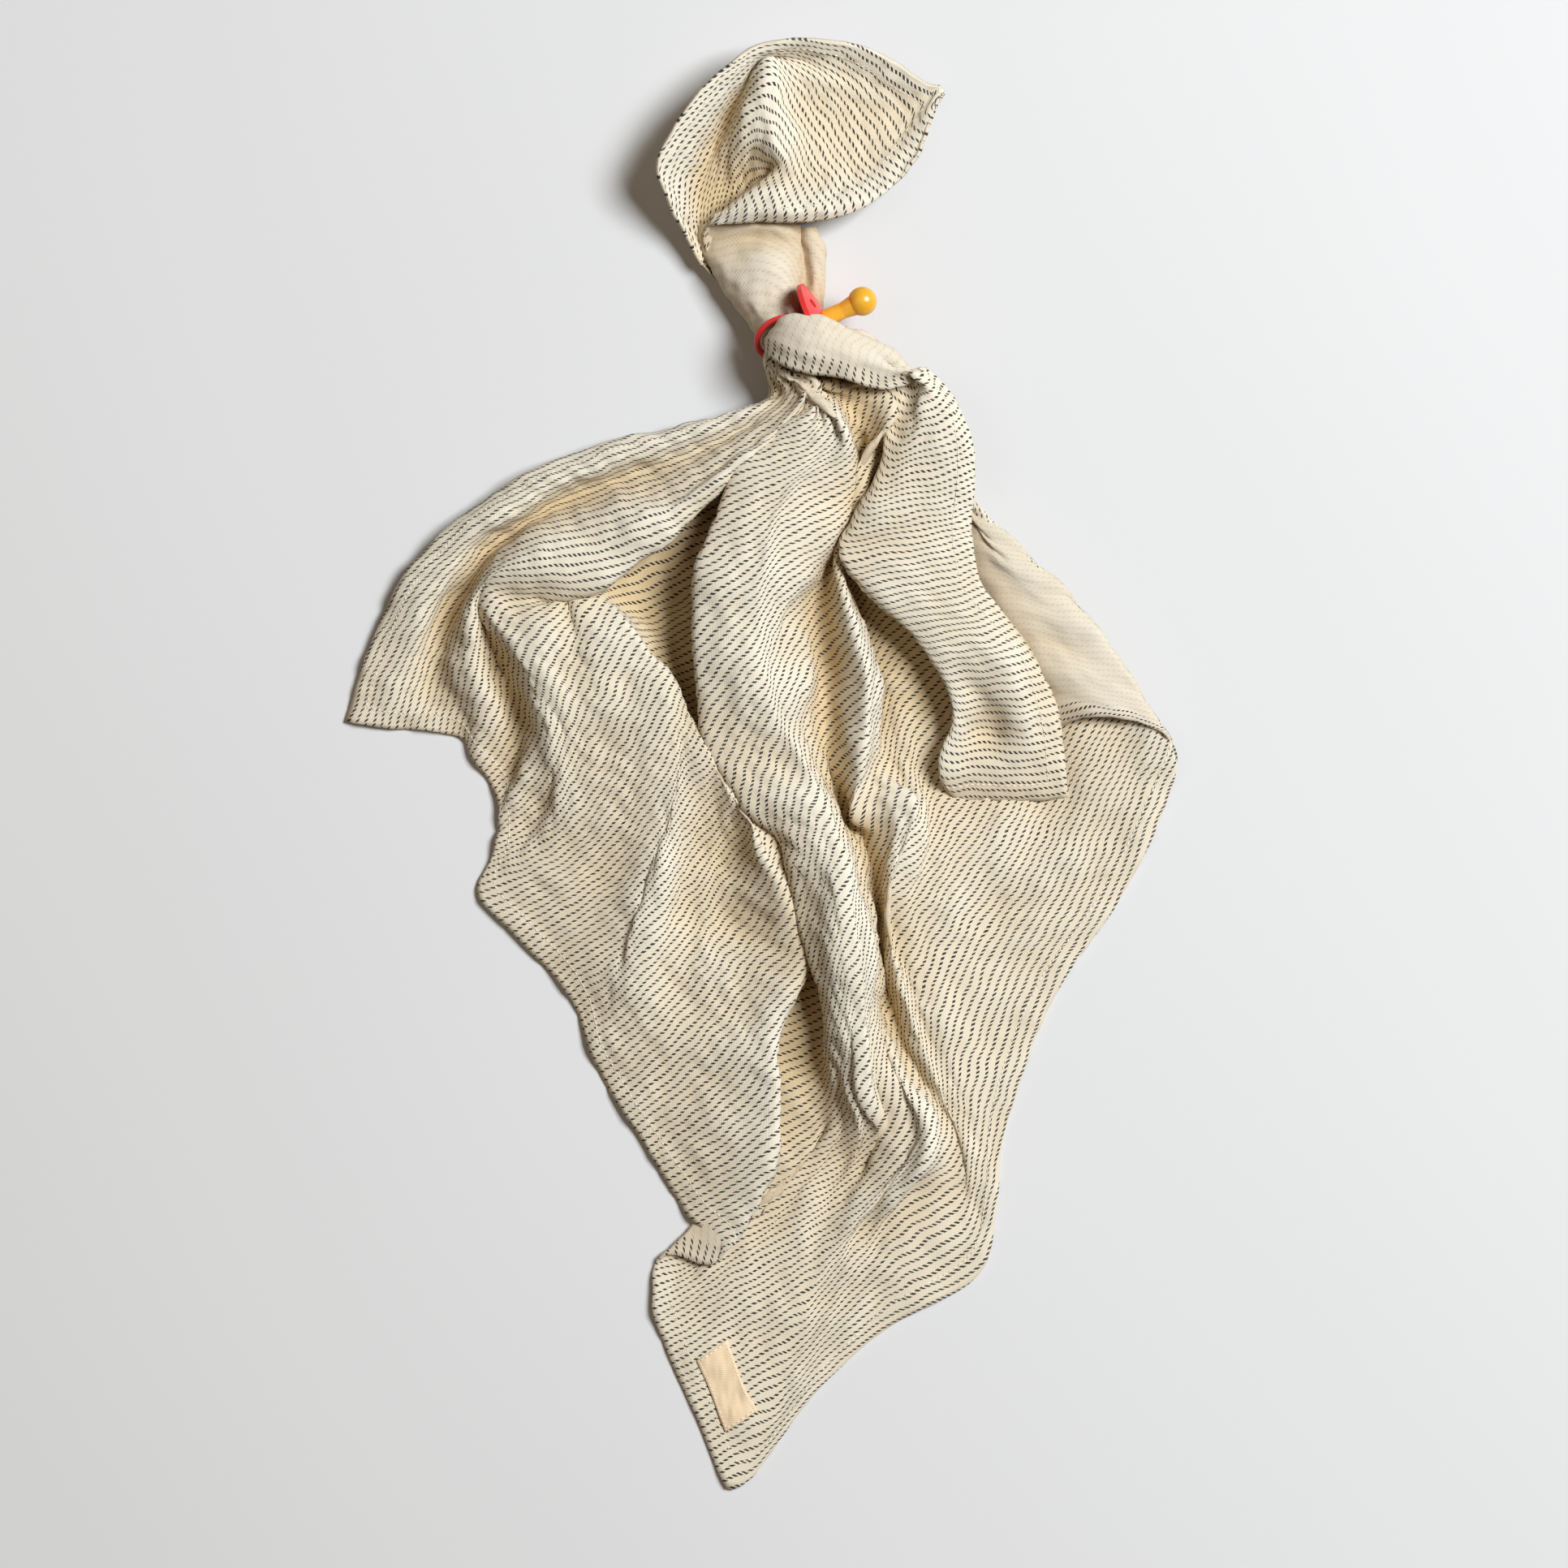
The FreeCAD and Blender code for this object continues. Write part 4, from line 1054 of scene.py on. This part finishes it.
class OBJECT_OT_soother(bpy.types.Operator):
    """Gives the soother's ring, knob, shield and teat their finishes"""

    bl_idname = "object.comfort_soother"
    bl_label = "Soother"

    def execute(self, context):
        """Puts moulded red on the three plastic pieces and natural rubber on the teat."""
        red = moulded_red()
        for node in ("ring_handle", "plug_knob", "soother_shield"):
            give(node, red)
        give("teat", natural_rubber())
        return {"FINISHED"}


class OBJECT_OT_studio(bpy.types.Operator):
    """Adds the floor, the soft lights and the camera"""

    bl_idname = "object.comfort_studio"
    bl_label = "Studio"

    def execute(self, context):
        """Lays the floor under the object, sets two soft lights and the sky, and hangs the camera straight
        above."""
        scene = context.scene
        floor = add_piece(
            "studio_floor",
            np.array([(-1.0, -1.0, 0.0), (1.0, -1.0, 0.0), (1.0, 1.0, 0.0), (-1.0, 1.0, 0.0)]) * FLOOR_REACH,
            np.array([[0, 1, 2, 3]]),
            [studio_floor()],
        )
        world = bpy.data.worlds.new("soft_sky")
        world.use_nodes = True
        background = world.node_tree.nodes["Background"]
        background.inputs["Color"].default_value = linear("FFD9B0")
        background.inputs["Strength"].default_value = SKY_STRENGTH
        scene.world = world
        for name, place, size, power, tint in LAMPS:
            lamp = bpy.data.lights.new(name, "AREA")
            lamp.size = size
            lamp.energy = power
            lamp.color = linear(tint)[:3]
            holder = bpy.data.objects.new(name, lamp)
            holder.location = place
            holder.rotation_euler = (-Vector(place)).to_track_quat("-Z", "Y").to_euler()
            scene.collection.objects.link(holder)
        eye = bpy.data.cameras.new("overhead_camera")
        eye.sensor_width = SENSOR
        eye.lens = SENSOR * CAMERA_HEIGHT / VIEW_WIDTH
        eye.clip_end = 50.0
        camera = bpy.data.objects.new("overhead_camera", eye)
        camera.location = (VIEW_CENTRE[0], VIEW_CENTRE[1], CAMERA_HEIGHT)
        scene.collection.objects.link(camera)
        scene.camera = camera
        scene.view_settings.view_transform = "Standard"
        return {"FINISHED"}


class VIEW3D_PT_comfort_cloth(bpy.types.Panel):
    """Lists what the add-on builds"""

    bl_idname = "VIEW3D_PT_comfort_cloth"
    bl_label = "Comfort cloth"
    bl_space_type = "VIEW_3D"
    bl_region_type = "UI"
    bl_category = "Cloth"

    def draw(self, context):
        """Shows the sizes and one button for each operator."""
        sizes = context.scene.comfort_cloth
        for name in ("stripe_pitch", "crinkle", "muslin_colour", "stripe_colour"):
            self.layout.prop(sizes, name)
        for operator in OPERATORS:
            self.layout.operator(operator.bl_idname)


OPERATORS = (
    OBJECT_OT_studio, OBJECT_OT_hem_stitches, OBJECT_OT_label, OBJECT_OT_comfort_cloth, OBJECT_OT_soother,
)
CLASSES = (ComfortClothSizes, *OPERATORS, VIEW3D_PT_comfort_cloth)


def register():
    """Registers the classes and puts the sizes on the scene."""
    for made in CLASSES:
        bpy.utils.register_class(made)
    bpy.types.Scene.comfort_cloth = PointerProperty(type=ComfortClothSizes)


def unregister():
    """Takes back what register did."""
    del bpy.types.Scene.comfort_cloth
    for made in reversed(CLASSES):
        bpy.utils.unregister_class(made)


def main():
    """Builds everything in order."""
    register()
    bpy.ops.object.comfort_studio()
    bpy.ops.object.comfort_hem_stitches()
    bpy.ops.object.comfort_label()
    bpy.ops.object.comfort_cloth()
    bpy.ops.object.comfort_soother()


if __name__ == "__main__":
    main()
